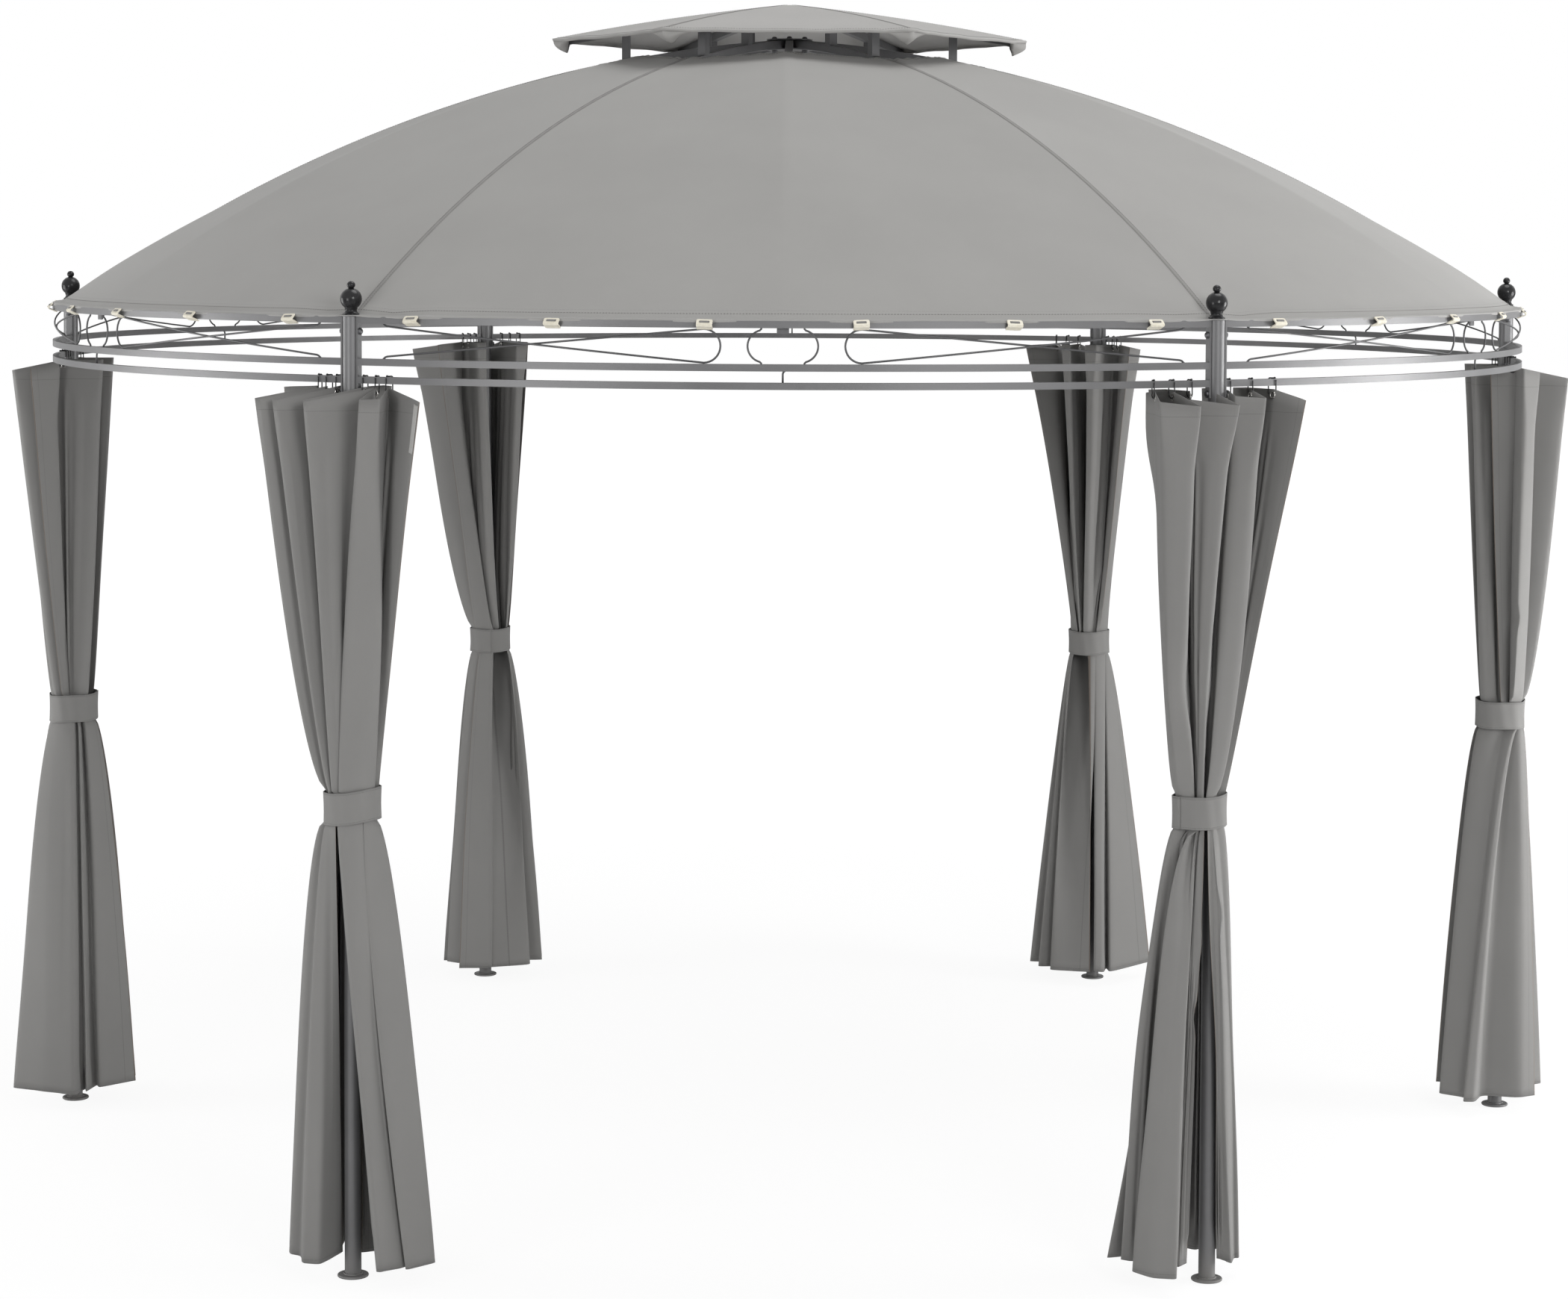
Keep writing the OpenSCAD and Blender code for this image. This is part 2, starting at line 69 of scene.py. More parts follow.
class Shade:
    """A socket in a finish's node tree. Arithmetic on it adds the Math nodes for it."""

    def __init__(self, tree, socket=None):
        self.tree, self.socket = tree, socket

    def node(self, kind, settings=None, inputs=None, output=0):
        made = self.tree.nodes.new("ShaderNode" + kind)
        for name, value in (settings or {}).items():
            setattr(made, name, value)
        for name, value in (inputs or {}).items():
            if isinstance(value, Shade):
                self.tree.links.new(value.socket, made.inputs[name])
            else:
                made.inputs[name].default_value = value
        return Shade(self.tree, made.outputs[output])

    def sum_of(self, operation, *values):
        return self.node("Math", {"operation": operation}, dict(enumerate(values)))

    def __add__(self, other):
        return self.sum_of("ADD", self, other)

    def __sub__(self, other):
        return self.sum_of("SUBTRACT", self, other)

    def __rsub__(self, other):
        return self.sum_of("SUBTRACT", other, self)

    def __mul__(self, other):
        return self.sum_of("MULTIPLY", self, other)

    def __lt__(self, other):
        return self.sum_of("LESS_THAN", self, other)

    def __gt__(self, other):
        return self.sum_of("GREATER_THAN", self, other)

    __radd__ = __add__
    __rmul__ = __mul__

    def between(self, low, high, to_low=0.0, to_high=1.0):
        """0 below low and 1 above high, with a smooth step between them."""
        return self.node(
            "MapRange",
            {"interpolation_type": "SMOOTHSTEP"},
            {"Value": self, "From Min": low, "From Max": high, "To Min": to_low, "To Max": to_high},
        )

    def blend(self, first, second):
        """The first colour where this is 0, the second where it is 1."""
        first, second = ((*c, 1) if isinstance(c, tuple) else c for c in (first, second))
        return self.node("Mix", {"data_type": "RGBA"}, {0: self, 6: first, 7: second}, output=2)

    def place(self):
        return self.node("TexCoord", output="Object")

    def noise(self, place, scale, detail, **more):
        return self.node("TexNoise", None, {"Vector": place, "Scale": scale, "Detail": detail, **more})

    def bump(self, strength, distance, height):
        return self.node("Bump", None, {"Strength": strength, "Distance": distance, "Height": height})


def cleared(data):
    """The Shade of the node tree of a world or a material, with nothing in it."""
    data.use_nodes = True
    data.node_tree.nodes.clear()
    return Shade(data.node_tree)


def give_surface(shade, kind, surface):
    out = shade.tree.nodes.new("ShaderNodeOutput" + kind)
    shade.tree.links.new(surface.socket, out.inputs["Surface"])


def studio_world():
    world = bpy.data.worlds.new("room")
    shade = cleared(world)
    rays = [shade.node("LightPath", output=f"Is {ray} Ray") for ray in ("Camera", "Transmission", "Glossy")]
    white = shade.sum_of("MAXIMUM", shade.sum_of("MAXIMUM", rays[0], rays[1]), rays[2] * 0.9)
    sky = shade.node("Background", None, {"Color": (1, 1, 1, 1), "Strength": 0.34 + white * 0.66})
    give_surface(shade, "World", sky)
    return world


scene.world = studio_world()


def floor_finish():
    """White to the camera, and wholly so further off; near by it takes a faint shadow."""
    finish = bpy.data.materials.new("floor_white")
    shade = cleared(finish)
    camera_ray = shade.node("LightPath", output="Is Camera Ray")
    far = shade.node("VectorMath", {"operation": "LENGTH"}, {0: shade.place()}, output="Value").between(2.6, 7.0)
    painted = shade.node("BsdfDiffuse", None, {"Color": (0.86, 0.86, 0.86, 1)})
    lit = shade.node("Emission", None, {"Color": (1, 1, 1, 1), "Strength": 1.06})
    mixed = shade.node("MixShader", None, {0: camera_ray * (far * 0.14 + 0.86), 1: painted, 2: lit})
    give_surface(shade, "Material", mixed)
    return finish


def make_piece(name, points, faces, finish, uv=None, smooth=True):
    """A mesh object from points, faces and, if given, one pair of cloth metres a point."""
    mesh = bpy.data.meshes.new(name)
    mesh.from_pydata([tuple(p) for p in points], [], [tuple(f) for f in faces])
    mesh.validate()
    mesh.polygons.foreach_set("use_smooth", [smooth] * len(mesh.polygons))
    if uv is not None:
        layer = mesh.uv_layers.new(name="cloth")
        corners = np.zeros(len(mesh.loops), dtype=np.int32)
        mesh.loops.foreach_get("vertex_index", corners)
        layer.data.foreach_set("uv", np.asarray(uv, dtype=np.float32)[corners].ravel())
    mesh.materials.append(finish)
    piece = bpy.data.objects.new(name, mesh)
    scene.collection.objects.link(piece)
    return piece


floor_half, floor_z = 40, -0.0008
floor_corners = [(x * floor_half, y * floor_half, floor_z) for x, y in ((-1, -1), (1, -1), (1, 1), (-1, 1))]
floor = make_piece("floor", floor_corners, [(0, 1, 2, 3)], floor_finish())

for lamp_name, place, size, power in (
    ("left_lamp", (-4.8, -0.4, 1.1), 2.4, 72),
    ("right_lamp", (5.0, -0.8, 1.1), 2.4, 150),
    ("key_lamp", (3.4, -8.8, 3.6), 3.0, 240),
    ("front_lamp", (-3.0, -5.0, 1.4), 1.8, 50),
    ("top_lamp", (2.0, -0.4, 8.4), 5.0, 270),
):
    light = bpy.data.lights.new(lamp_name, "AREA")
    light.shape, light.size, light.energy = "DISK", size, power
    lamp = bpy.data.objects.new(lamp_name, light)
    lamp.location = place
    lamp.rotation_euler = (Vector((0, 0, 1.4)) - Vector(place)).to_track_quat("-Z", "Y").to_euler()
    scene.collection.objects.link(lamp)

# ---------------------------------------------------------------- steel frame
# Posts, rails, ribs, hub and cap rafters are welded mild steel tube, powder coated in a
# fine satin anthracite. The CAD pieces stay; their edges are rounded as drawn tube is.

POSTS = [radians(60 * i) for i in range(6)]
ring_r, post_r, post_h = 1.743, 0.017, 1.960
rail_in, rail_out, rail = 1.736, 1.750, 0.014


def finish_with(name, colour, roughness, **plain):
    """A finish's material, its tree's Shade and its main shader, to add detail to."""
    finish = bpy.data.materials.new(name)
    finish.use_nodes = True
    shader = finish.node_tree.nodes["Principled BSDF"]
    shader.inputs["Base Color"].default_value = (*colour, 1)
    shader.inputs["Roughness"].default_value = roughness
    for key, value in plain.items():
        shader.inputs[key.replace("_", " ")].default_value = value
    finish.diffuse_color = (*colour, 1)
    return finish, Shade(finish.node_tree), shader


def plug(shade, shader, **sockets):
    for name, value in sockets.items():
        shade.tree.links.new(value.socket, shader.inputs[name.replace("_", " ")])


def coated_steel(name, colour, roughness):
    """Powder coat: a fine orange peel, soft clouds in the gloss, dust that gathers low down."""
    finish, shade, shader = finish_with(name, colour, roughness, Metallic=0.25, Specular_IOR_Level=0.5)
    place = shade.place()
    peel = shade.noise(place, 620.0, 2.0)
    clouds = shade.noise(place, 5.5, 4.0)
    height = shade.node("SeparateXYZ", None, {0: place}, output="Z")
    dust = (1 - height.between(0.004, 0.09)) * clouds.between(0.35, 0.7)
    dark, light, speck = (tuple(min(1, c * share) for c in colour) for share in (0.93, 1.08, 1.9))
    coat = clouds.between(0.3, 0.7).blend(dark, light)
    coat = (shade.noise(place, 2400.0, 1.0).between(0.62, 0.72) * 0.3).blend(coat, speck)
    coat = (dust * 0.35).blend(coat, (0.30, 0.285, 0.26))
    gloss = clouds.between(0.2, 0.8, roughness - 0.05, roughness + 0.07) + dust * 0.3
    plug(shade, shader, Base_Color=coat, Roughness=gloss, Normal=shade.bump(0.12, 0.0004, peel))
    return finish


steel_coat = coated_steel("anthracite_coat", (0.150, 0.150, 0.153), 0.40)
# The ribs, hub and cap rafters under the cloth take a darker copy of the same coat: painted shade.
tube_coat_painted_shade = coated_steel("anthracite_tube_coat", (0.118, 0.118, 0.121), 0.42)


def refinish(node, finish):
    """Puts a finish on a CAD piece in place of its plain one, shaded smooth."""
    part = nodes[node]
    part.data.materials.clear()
    part.data.materials.append(finish)
    part.data.polygons.foreach_set("use_smooth", [True] * len(part.data.polygons))
    return part


def dress_steel(node, finish, rounding):
    part = refinish(node, finish)
    edge = part.modifiers.new("rounded_edges", "BEVEL")
    edge.width, edge.segments, edge.limit_method, edge.angle_limit = rounding, 2, "ANGLE", radians(40)
    edge.harden_normals = False
    part.modifiers.new("even_faces", "WEIGHTED_NORMAL").keep_sharp = True


for i in range(1, 7):
    dress_steel(f"post_{i}", steel_coat, 0.0012)
    dress_steel(f"bay_frame_{i}", steel_coat, 0.0015)
    dress_steel(f"post_rib_{i}", tube_coat_painted_shade, 0.0018)
    dress_steel(f"ridge_rib_{i}", tube_coat_painted_shade, 0.0018)
dress_steel("roof_hub", tube_coat_painted_shade, 0.0008)
dress_steel("cap_frame", tube_coat_painted_shade, 0.0018)

# ---------------------------------------------------------------- bolts and weld beads
# Domed bolts hold the flat end bars to the posts, two a side; six bolts with nuts clamp
# the hub plates; small screws hold each ridge rib's foot. A weld bead rings each post.


def tube_faces(rows, sides, closed=False):
    """Faces over rows of points round a tube, with flat ends unless it closes on itself."""
    faces = []
    for i in range(rows if closed else rows - 1):
        for j in range(sides):
            beside, after = (j + 1) % sides, (i + 1) % rows * sides
            faces.append((i * sides + j, i * sides + beside, after + beside, after + j))
    if not closed:
        faces += [tuple(reversed(range(sides))), tuple(range((rows - 1) * sides, rows * sides))]
    return faces


def lathe(profile, sides=20, closed=False):
    """Points and faces of a profile of (radius, height) pairs turned about Z."""
    turns = [2 * pi * k / sides for k in range(sides)]
    points = [Vector((r * cos(a), r * sin(a), z)) for r, z in profile for a in turns]
    return points, tube_faces(len(profile), sides, closed)


def joined(shapes):
    """One set of points and faces from many (points, faces, matrix)."""
    points, faces = [], []
    for shape_points, shape_faces, matrix in shapes:
        base = len(points)
        points += [matrix @ p for p in shape_points]
        faces += [tuple(base + k for k in face) for face in shape_faces]
    return points, faces


def axes(azimuth):
    """Straight out from the middle and along the ring, at an azimuth."""
    out = Vector((cos(azimuth), sin(azimuth), 0))
    return out, Vector((-out.y, out.x, 0))


def up(z):
    return Vector((0, 0, z))


def on_post(azimuth, s, r, z):
    """A place by a post: s along the ring, r out from the post, at height z."""
    out, along = axes(azimuth)
    return out * (ring_r + r) + along * s + up(z)


def facing(place, axis):
    """A matrix that puts a turned shape at a place, with its Z along an axis."""
    return Matrix.Translation(place) @ Vector(axis).to_track_quat("Z", "Y").to_matrix().to_4x4()


def fine_grained(name, colour, roughness, grain, dark, light, steep=False, gloss=None, relief=None, **plain):
    """A finish in which one noise of (scale, detail) sways the colour and, where they are
    given, the gloss from one roughness to another and a relief of (strength, distance)."""
    finish, shade, shader = finish_with(name, colour, roughness, **plain)
    noise = shade.noise(shade.place(), *grain)
    plug(shade, shader, Base_Color=(noise.between(0.3, 0.7) if steep else noise).blend(dark, light))
    if gloss:
        plug(shade, shader, Roughness=noise.between(0.3, 0.7, *gloss))
    if relief:
        plug(shade, shader, Normal=shade.bump(*relief, noise))
    return finish


domed = lathe([(0.0062, 0), (0.0064, 0.0008), (0.0060, 0.0022), (0.0048, 0.0036), (0.0028, 0.0044), (0.0008, 0.0046)])
nut_profile = [(0.0056, 0), (0.0058, 0.0006), (0.0058, 0.0042), (0.0052, 0.0049)]
hex_nut = lathe(nut_profile + [(0.0036, 0.0049), (0.0034, 0.0062), (0.0006, 0.0064)], 6)
washer = lathe([(0.0072, 0), (0.0075, 0.0003), (0.0075, 0.0010), (0.0068, 0.0013), (0.0030, 0.0013)], 24)
small_dome = lathe([(0.0036, 0), (0.0037, 0.0006), (0.0030, 0.0018), (0.0012, 0.0025), (0.0003, 0.0026)], 16)
bar_face, bar_bolt_heights, hub_bolt_r = post_r + 0.0003 + 0.004, (1.930, 1.8115), 0.042
rib_screw_z, rib_screw_off = 1.9395, 0.0085
fastened = []


def bolted(place, axis, head, washer_t):
    """A washer on a face at a place, and a bolt's head or a nut on the washer."""
    fastened.append((*washer, facing(place, axis)))
    fastened.append((*head, facing(place + Vector(axis) * washer_t, axis)))


for azimuth in POSTS:
    for side in (-1, 1):
        for z in bar_bolt_heights:
            bolted(on_post(azimuth, side * bar_face, -0.0003, z), axes(azimuth)[1] * side, domed, 0.0012)
hub_low, hub_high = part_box("roof_hub")
BAY_MIDDLES = [radians(60 * i + 30) for i in range(6)]
for a in BAY_MIDDLES:
    spot = axes(a)[0] * hub_bolt_r
    bolted(spot + up(hub_high.z - 0.0001), (0, 0, 1), domed, 0.0011)
    bolted(spot + up(hub_low.z + 0.0001), (0, 0, -1), hex_nut, 0.0011)
for a in BAY_MIDDLES:
    out, along = axes(a)
    for side in (-1, 1):
        place = out * (rail_in - 0.0029) + along * side * rib_screw_off + up(rib_screw_z)
        fastened.append((*small_dome, facing(place, -out)))
zinc = fine_grained(
    "blackened_zinc", (0.10, 0.10, 0.104), 0.38, (900.0, 3.0), (0.075, 0.075, 0.08), (0.15, 0.15, 0.155),
    gloss=(0.3, 0.5), Metallic=0.75,
)
bolts = make_piece("frame_bolts", *joined(fastened), zinc)
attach(bolts, "root")

bead_r, bead_z = 0.0030, 0.0056
bead_profile = [(post_r - 0.0004, 0.0064)]
bead_profile += [(post_r + bead_r * cos(a), bead_z + bead_r * sin(a)) for a in (1.4, 1.1, 0.8, 0.5, 0.25, 0.12)]
bead_points, bead_faces = lathe(bead_profile, 72)
rippled = [p + up(0.0003 * sin(19 * atan2(p.y, p.x))) if p.length > 0.0176 else p for p in bead_points]
beads = [(rippled, bead_faces[:-2], Matrix.Translation(on_post(azimuth, 0, 0, 0))) for azimuth in POSTS]
weld = make_piece("foot_welds", *joined(beads), steel_coat)
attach(weld, "root")

# ---------------------------------------------------------------- scroll wires
# Each bay has a ring of two bent wires, a hairpin on either side whose legs cross, and a
# short stay below. It is one round steel wire, bent and welded by its feet, coated dark.

wire_coat = coated_steel("scroll_wire_coat", (0.075, 0.075, 0.078), 0.36)
rail_gap_top, rail_gap_low = post_h - rail, post_h - 0.0915 + rail / 2
gap_mid = (rail_gap_top + rail_gap_low) / 2
wire_r = 0.002
wire_bend = (rail_gap_top - rail_gap_low - 2 * wire_r) / 2 - 0.0003


def swept(path, radius, sides=10):
    """A round bar along a path of points, with flat ends."""
    points, normal = [], None
    for before, p, after in zip(path[:1] + path, path, path[1:] + path[-1:]):
        ahead = (after - before).normalized()
        normal = ahead.orthogonal() if normal is None else normal
        normal = (normal - ahead * normal.dot(ahead)).normalized()
        other = ahead.cross(normal)
        for j in range(sides):
            a = 2 * pi * j / sides
            points.append(p + (normal * cos(a) + other * sin(a)) * radius)
    return points, tube_faces(len(path), sides)


def rounded(path, radius, steps=5):
    """A path whose corners are rounded off over a given length."""
    curve = [path[0]]
    for before, corner, after in zip(path, path[1:], path[2:]):
        cut_a = min(radius, (before - corner).length * 0.49)
        cut_b = min(radius, (after - corner).length * 0.49)
        a, b = corner + (before - corner).normalized() * cut_a, corner + (after - corner).normalized() * cut_b
        for k in range(steps + 1):
            t = k / steps
            curve.append(a * (1 - t) ** 2 + corner * 2 * t * (1 - t) + b * t * t)
    return curve + [path[-1]]


def along_bay(bay, s, z, off=0.0):
    """A place in a bay: s along the ring from its middle, at height z, out by off."""
    return axes(BAY_MIDDLES[bay] + s / ring_r)[0] * (ring_r + off) + up(z)


def mirrored(path):
    """The lower half of a wire's (s, z, off) path, which its upper half gives in reverse."""
    return [(s, 2 * gap_mid - z, -off) for s, z, off in reversed(path)]


ring_half, ring_reach, pin_near, pin_foot, leg_turn = 0.036, 74, 0.155, 0.832, 0.008
foot = ring_half + wire_bend * cos(radians(ring_reach)) - 0.003
half_ring = [(foot, rail_gap_top + 0.0015, 0), (foot, rail_gap_top - 0.0015, 0)]
arc = np.radians(np.linspace(ring_reach, -ring_reach, 25))
ring_wire = [(ring_half + wire_bend * cos(a), gap_mid + (wire_bend - 0.001) * sin(a), 0) for a in arc]
ring_wire = half_ring + ring_wire + mirrored(half_ring)
leg = [(pin_foot, rail_gap_top + 0.0015, 0), (pin_foot, rail_gap_top - 0.0012, 0)]
leg.append((pin_foot - 0.003, rail_gap_top - 0.0035, 0))
leg_start, leg_top, leg_low = pin_foot - leg_turn, rail_gap_top - 0.003 - wire_r, gap_mid - wire_bend
for f in np.arange(25) / 25:
    leg.append((leg_start + (pin_near - leg_start) * f, leg_top + (leg_low - leg_top) * f, 0.00215 * sin(pi * f)))
turn = np.radians(np.linspace(-90, -270, 19))
hairpin = leg + [(pin_near + wire_bend * cos(a), gap_mid + wire_bend * sin(a), 0) for a in turn] + mirrored(leg)
mid_rail_z, low_rail_z = 1.8685 - rail / 2, 1.8325 + rail / 2
blob = lathe([(0.0034, 0), (0.0032, 0.0006), (0.0024, 0.0016), (0.0008, 0.0021)], 12)
for bay in range(6):
    wires = []
    for side in (-1, 1):
        for path in (ring_wire, hairpin):
            wires.append((*swept([along_bay(bay, side * s, z, off) for s, z, off in path], wire_r), Matrix()))
    stay = [(0, low_rail_z - 0.001), (0, mid_rail_z - 0.003), (0.004, mid_rail_z + 0.001)]
    wires.append((*swept(rounded([along_bay(bay, *place) for place in stay], 0.003), wire_r), Matrix()))
    for s in (-pin_foot, pin_foot):
        for z, way in ((rail_gap_top + 0.0001, -1), (rail_gap_low - 0.0001, 1)):
            wires.append((*blob, facing(along_bay(bay, s, z), (0, 0, way))))
    scroll = make_piece(f"scroll_wires_{bay + 1}", *joined(wires), wire_coat)
    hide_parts(f"scrollwork_{bay + 1}")
    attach(scroll, "root")

# ---------------------------------------------------------------- canopy
# One tailored sheet of grey woven polyester, six gores joined by felled seams over the
# post ribs, stretched over the twelve ribs. It is hemmed at the eave and at the vent.


def arch(foot_r, foot_z, apex_z, bend_r):
    """The arc of a rolled rib's top line, as its centre's r and z and its radius."""
    drop = foot_z - apex_z
    chord = hypot(foot_r, drop)
    reach = sqrt(bend_r**2 - chord**2 / 4)
    return foot_r / 2 + reach * drop / chord, (foot_z + apex_z) / 2 - reach * foot_r / chord, bend_r


def arch_z(line, r):
    return line[1] + sqrt(line[2] ** 2 - (r - line[0]) ** 2)


def smooth(low, high, x):
    t = min(max((x - low) / (high - low), 0.0), 1.0)
    return t * t * (3 - 2 * t)


rib_apex_z, rib_bend_r = post_h + 0.638, 3.340
post_arch = arch(ring_r - post_r, post_h, rib_apex_z, rib_bend_r)
ridge_arch = arch(rail_in, post_h, rib_apex_z, rib_bend_r)
vent_r, rib_half, eave_r, cloth_lift, hem_lift = 0.460, 0.010, 1.7515, 0.0022, 0.0007
cloth_t, roof_weave, canopy_down = 0.0010, 0.0011, 1.36
sag, crease_depth, tug_rise, vent_wave = 0.0045, 0.0042, 0.0016, 0.0022


def woven(name, colour, roughness, weave, mottle=0.05, lines=(), cloth_w=0.0):
    """Woven cloth: plain weave by its own metres, slubs, soft mottling and a nap's sheen.
    lines gives each sewn line as (axis, place, width) in metres; cloth_w is the cloth's,
    if its selvages show, as thin brown lines."""
    nap = {"Sheen_Weight": 0.12, "Sheen_Roughness": 0.45, "Specular_IOR_Level": 0.28}
    finish, shade, shader = finish_with(name, colour, roughness, **nap)
    place = shade.place()
    cloth = shade.node("UVMap", {"uv_map": "cloth"})
    across, down = (shade.node("SeparateXYZ", None, {0: cloth}, output=axis) for axis in "XY")
    turns = 2 * pi / weave
    warp, weft = shade.sum_of("SINE", across * turns), shade.sum_of("SINE", down * turns)
    slubs = shade.noise(cloth, 420.0, 2.0)
    clouds = shade.noise(place, 3.2, 5.0, Roughness=0.6)
    grain = shade.noise(place, 900.0, 2.0, Roughness=0.7)
    thread = warp * weft
    tone = clouds.between(0.25, 0.75) * 0.55 + grain.between(0.3, 0.7) * 0.3 + (thread * 0.5 + 0.5) * 0.15
    dark, light = tuple(c * (1 - mottle) for c in colour), tuple(min(1, c * (1 + mottle)) for c in colour)
    dyed = tone.blend(dark, light)
    height = thread * 0.5 + slubs * 0.8
    for axis, at, width in lines:
        along, over = (down, across) if axis == "across" else (across, down)
        off = shade.sum_of("ABSOLUTE", over - at)
        row = 1 - off.between(width * 0.35, width)
        gaps = shade.sum_of("FRACT", along * 210.0).between(0.12, 0.3)
        dyed = (row * gaps * 0.55).blend(dyed, tuple(c * 0.5 for c in colour))
        height = height - row * (1.6 + gaps * 1.2)
    if cloth_w:
        selvage = (across < 0.0022) + (across > cloth_w - 0.0022)
        dyed = (selvage * 0.7).blend(dyed, (0.16, 0.125, 0.10))
    gloss = grain.between(0.25, 0.75, roughness - 0.04, roughness + 0.05)
    plug(shade, shader, Base_Color=dyed, Roughness=gloss, Normal=shade.bump(0.2, 0.0005, height))
    return finish


def sheet_faces(rows, columns, closed=False):
    """Faces over rows of points; closed joins the last column to the first."""
    faces = []
    for i in range(rows - 1):
        for j in range(columns if closed else columns - 1):
            a, b = i * columns + j, i * columns + (j + 1) % columns
            faces.append((a, a + columns, b + columns, b))
    return faces


def thicken(piece, thickness):
    skin = piece.modifiers.new("cloth_thickness", "SOLIDIFY")
    skin.thickness, skin.offset = thickness, 0.0
    return piece


def grid_piece(name, grid, uv, finish, thickness, closed=False):
    """A sheet over rows by columns of points, with a pair of cloth metres for each."""
    points, metres = ([p for row in rows for p in row] for rows in (grid, uv))
    faces = sheet_faces(len(grid), len(grid[0]), closed)
    return thicken(make_piece(name, points, faces, finish, metres), thickness)


def sewn_rows(shares, gores, spans, point, over_rib, hemmed, metres):
    """Rows of points and cloth metres round a roof of gores: each gore's cloth over its
    spans, then the cloth on the rib after it, lifted where it lies double in a hem."""
    grid, uv = [], []
    for t in shares:
        row, turns = [], []
        for k in range(gores):
            row += [point(k, f, t) for f in spans] + [over_rib(k + 1, t)]
            turns += [k + f for f in spans] + [k + 1]
        if hemmed(t):
            row = [p + up(hem_lift) for p in row]
        grid.append(row)
        uv.append([(2 * pi * turn / gores * metres[0], t * metres[1]) for turn in turns])
    return grid, uv


def roof_edge(k, t, side):
    """Where the cloth leaves the side of rib k, at a share t of the way down the rib."""
    line = ridge_arch if k % 2 else post_arch
    start, foot = (vent_r * cos(radians(30)), rail_in) if k % 2 else (vent_r, ring_r - post_r)
    r = start + (foot - start) * min(t, 1.0)
    out, along = axes(radians(30 * k))
    return out * r + along * side * rib_half + up(arch_z(line, r) + cloth_lift)


def canopy_point(k, f, t):
    """The cloth from rib k (f = 0) to the next rib (f = 1), at a share t from vent to eave."""
    a, b = roof_edge(k, t, 1), roof_edge((k + 1) % 12, t, -1)
    p = a.lerp(b, f)
    flat_r = hypot(p.x, p.y)
    true_r = hypot(a.x, a.y) * (1 - f) + hypot(b.x, b.y) * f
    p_r = flat_r + (true_r - flat_r) * smooth(0.45, 0.95, t)
    p.x, p.y = p.x * p_r / flat_r, p.y * p_r / flat_r
    pull = sin(pi * f)
    p.z -= sag * pull**0.8 * sin(pi * min(t, 1.0)) ** 0.7
    from_post = f if k % 2 == 0 else 1 - f
    crease = exp(-((from_post - 0.085) / 0.05) ** 2) * smooth(0.72, 0.985, t)
    p.z -= crease_depth * crease * (1.2 if k % 2 == 0 else 0.5)
    tug = exp(-((from_post - 0.22 - 0.5 * (1 - t)) / 0.035) ** 2) * smooth(0.80, 0.97, t)
    p.z += tug_rise * tug
    near_vent = exp(-t / 0.05)
    p.z += vent_wave * near_vent * sin(26 * f + 1.7 * k) * (1 - pull * 0.5)
    return p


def canopy_over_rib(k, t):
    return (roof_edge(k % 12, t, -1) + roof_edge(k % 12, t, 1)) / 2 + up(0.0006)


spans = [0, 0.008, 0.02, 0.045, 0.085, 0.13, 0.19, 0.27, 0.38]
spans += [0.5] + [1 - f for f in reversed(spans)]
hem_steps = [0, 0.003, 0.007, 0.0095, 0.0105, 0.016]
shares = hem_steps + list(np.linspace(0.03, 0.96, 62)) + [0.972, 0.982, 0.9835, 0.990, 0.996, 1.0]
canopy_grid, canopy_uv = sewn_rows(
    shares, 12, spans, canopy_point, canopy_over_rib, lambda t: t < 0.0100 or t > 0.9825, (1.0, canopy_down)
)


def eave_row(out, drop):
    """A row past the ribs' feet: out towards the hem by a share, and down by a drop."""
    row = []
    for p in canopy_grid[len(shares) - 1]:
        a = atan2(p.y, p.x)
        beside = abs(a - radians(60) * round(a / radians(60))) * ring_r
        clip_angle = (degrees(a) % 10) - 5
        slack = 1 - exp(-((clip_angle / 1.5) ** 2))
        edge = eave_r - 0.0028 * slack * smooth(0.03, 0.08, beside)
        edge += (ring_r + post_r + 0.0018 - edge) * exp(-((beside / 0.016) ** 4))
        start, rail_z = hypot(p.x, p.y), post_h + 0.0017
        over_post = exp(-((beside / 0.03) ** 4))
        z = rail_z + (p.z - rail_z) * (1 - out) ** 2 + hem_lift - drop * (1 - 0.7 * over_post) * (1 - 0.35 * slack)
        row.append(axes(a)[0] * (start + (edge - start) * out) + up(z))
    return row


for out, drop in ((0.35, 0.0), (0.7, 0.0), (0.93, 0.0002), (1.0, 0.0016), (1.012, 0.0042), (1.004, 0.0062)):
    canopy_grid.append(eave_row(out, drop))
    canopy_uv.append([(u, canopy_down + 0.026 * out) for u, _ in canopy_uv[0]])

hem_lines = [("down", 1.337, 0.0009), ("down", 0.0135, 0.0009)]
canopy_cloth = woven("canopy_weave", (0.331, 0.326, 0.316), 0.82, roof_weave, lines=hem_lines)
canopy = grid_piece("canopy_sheet", canopy_grid, canopy_uv, canopy_cloth, cloth_t, closed=True)
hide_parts("canopy")
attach(canopy, "root")
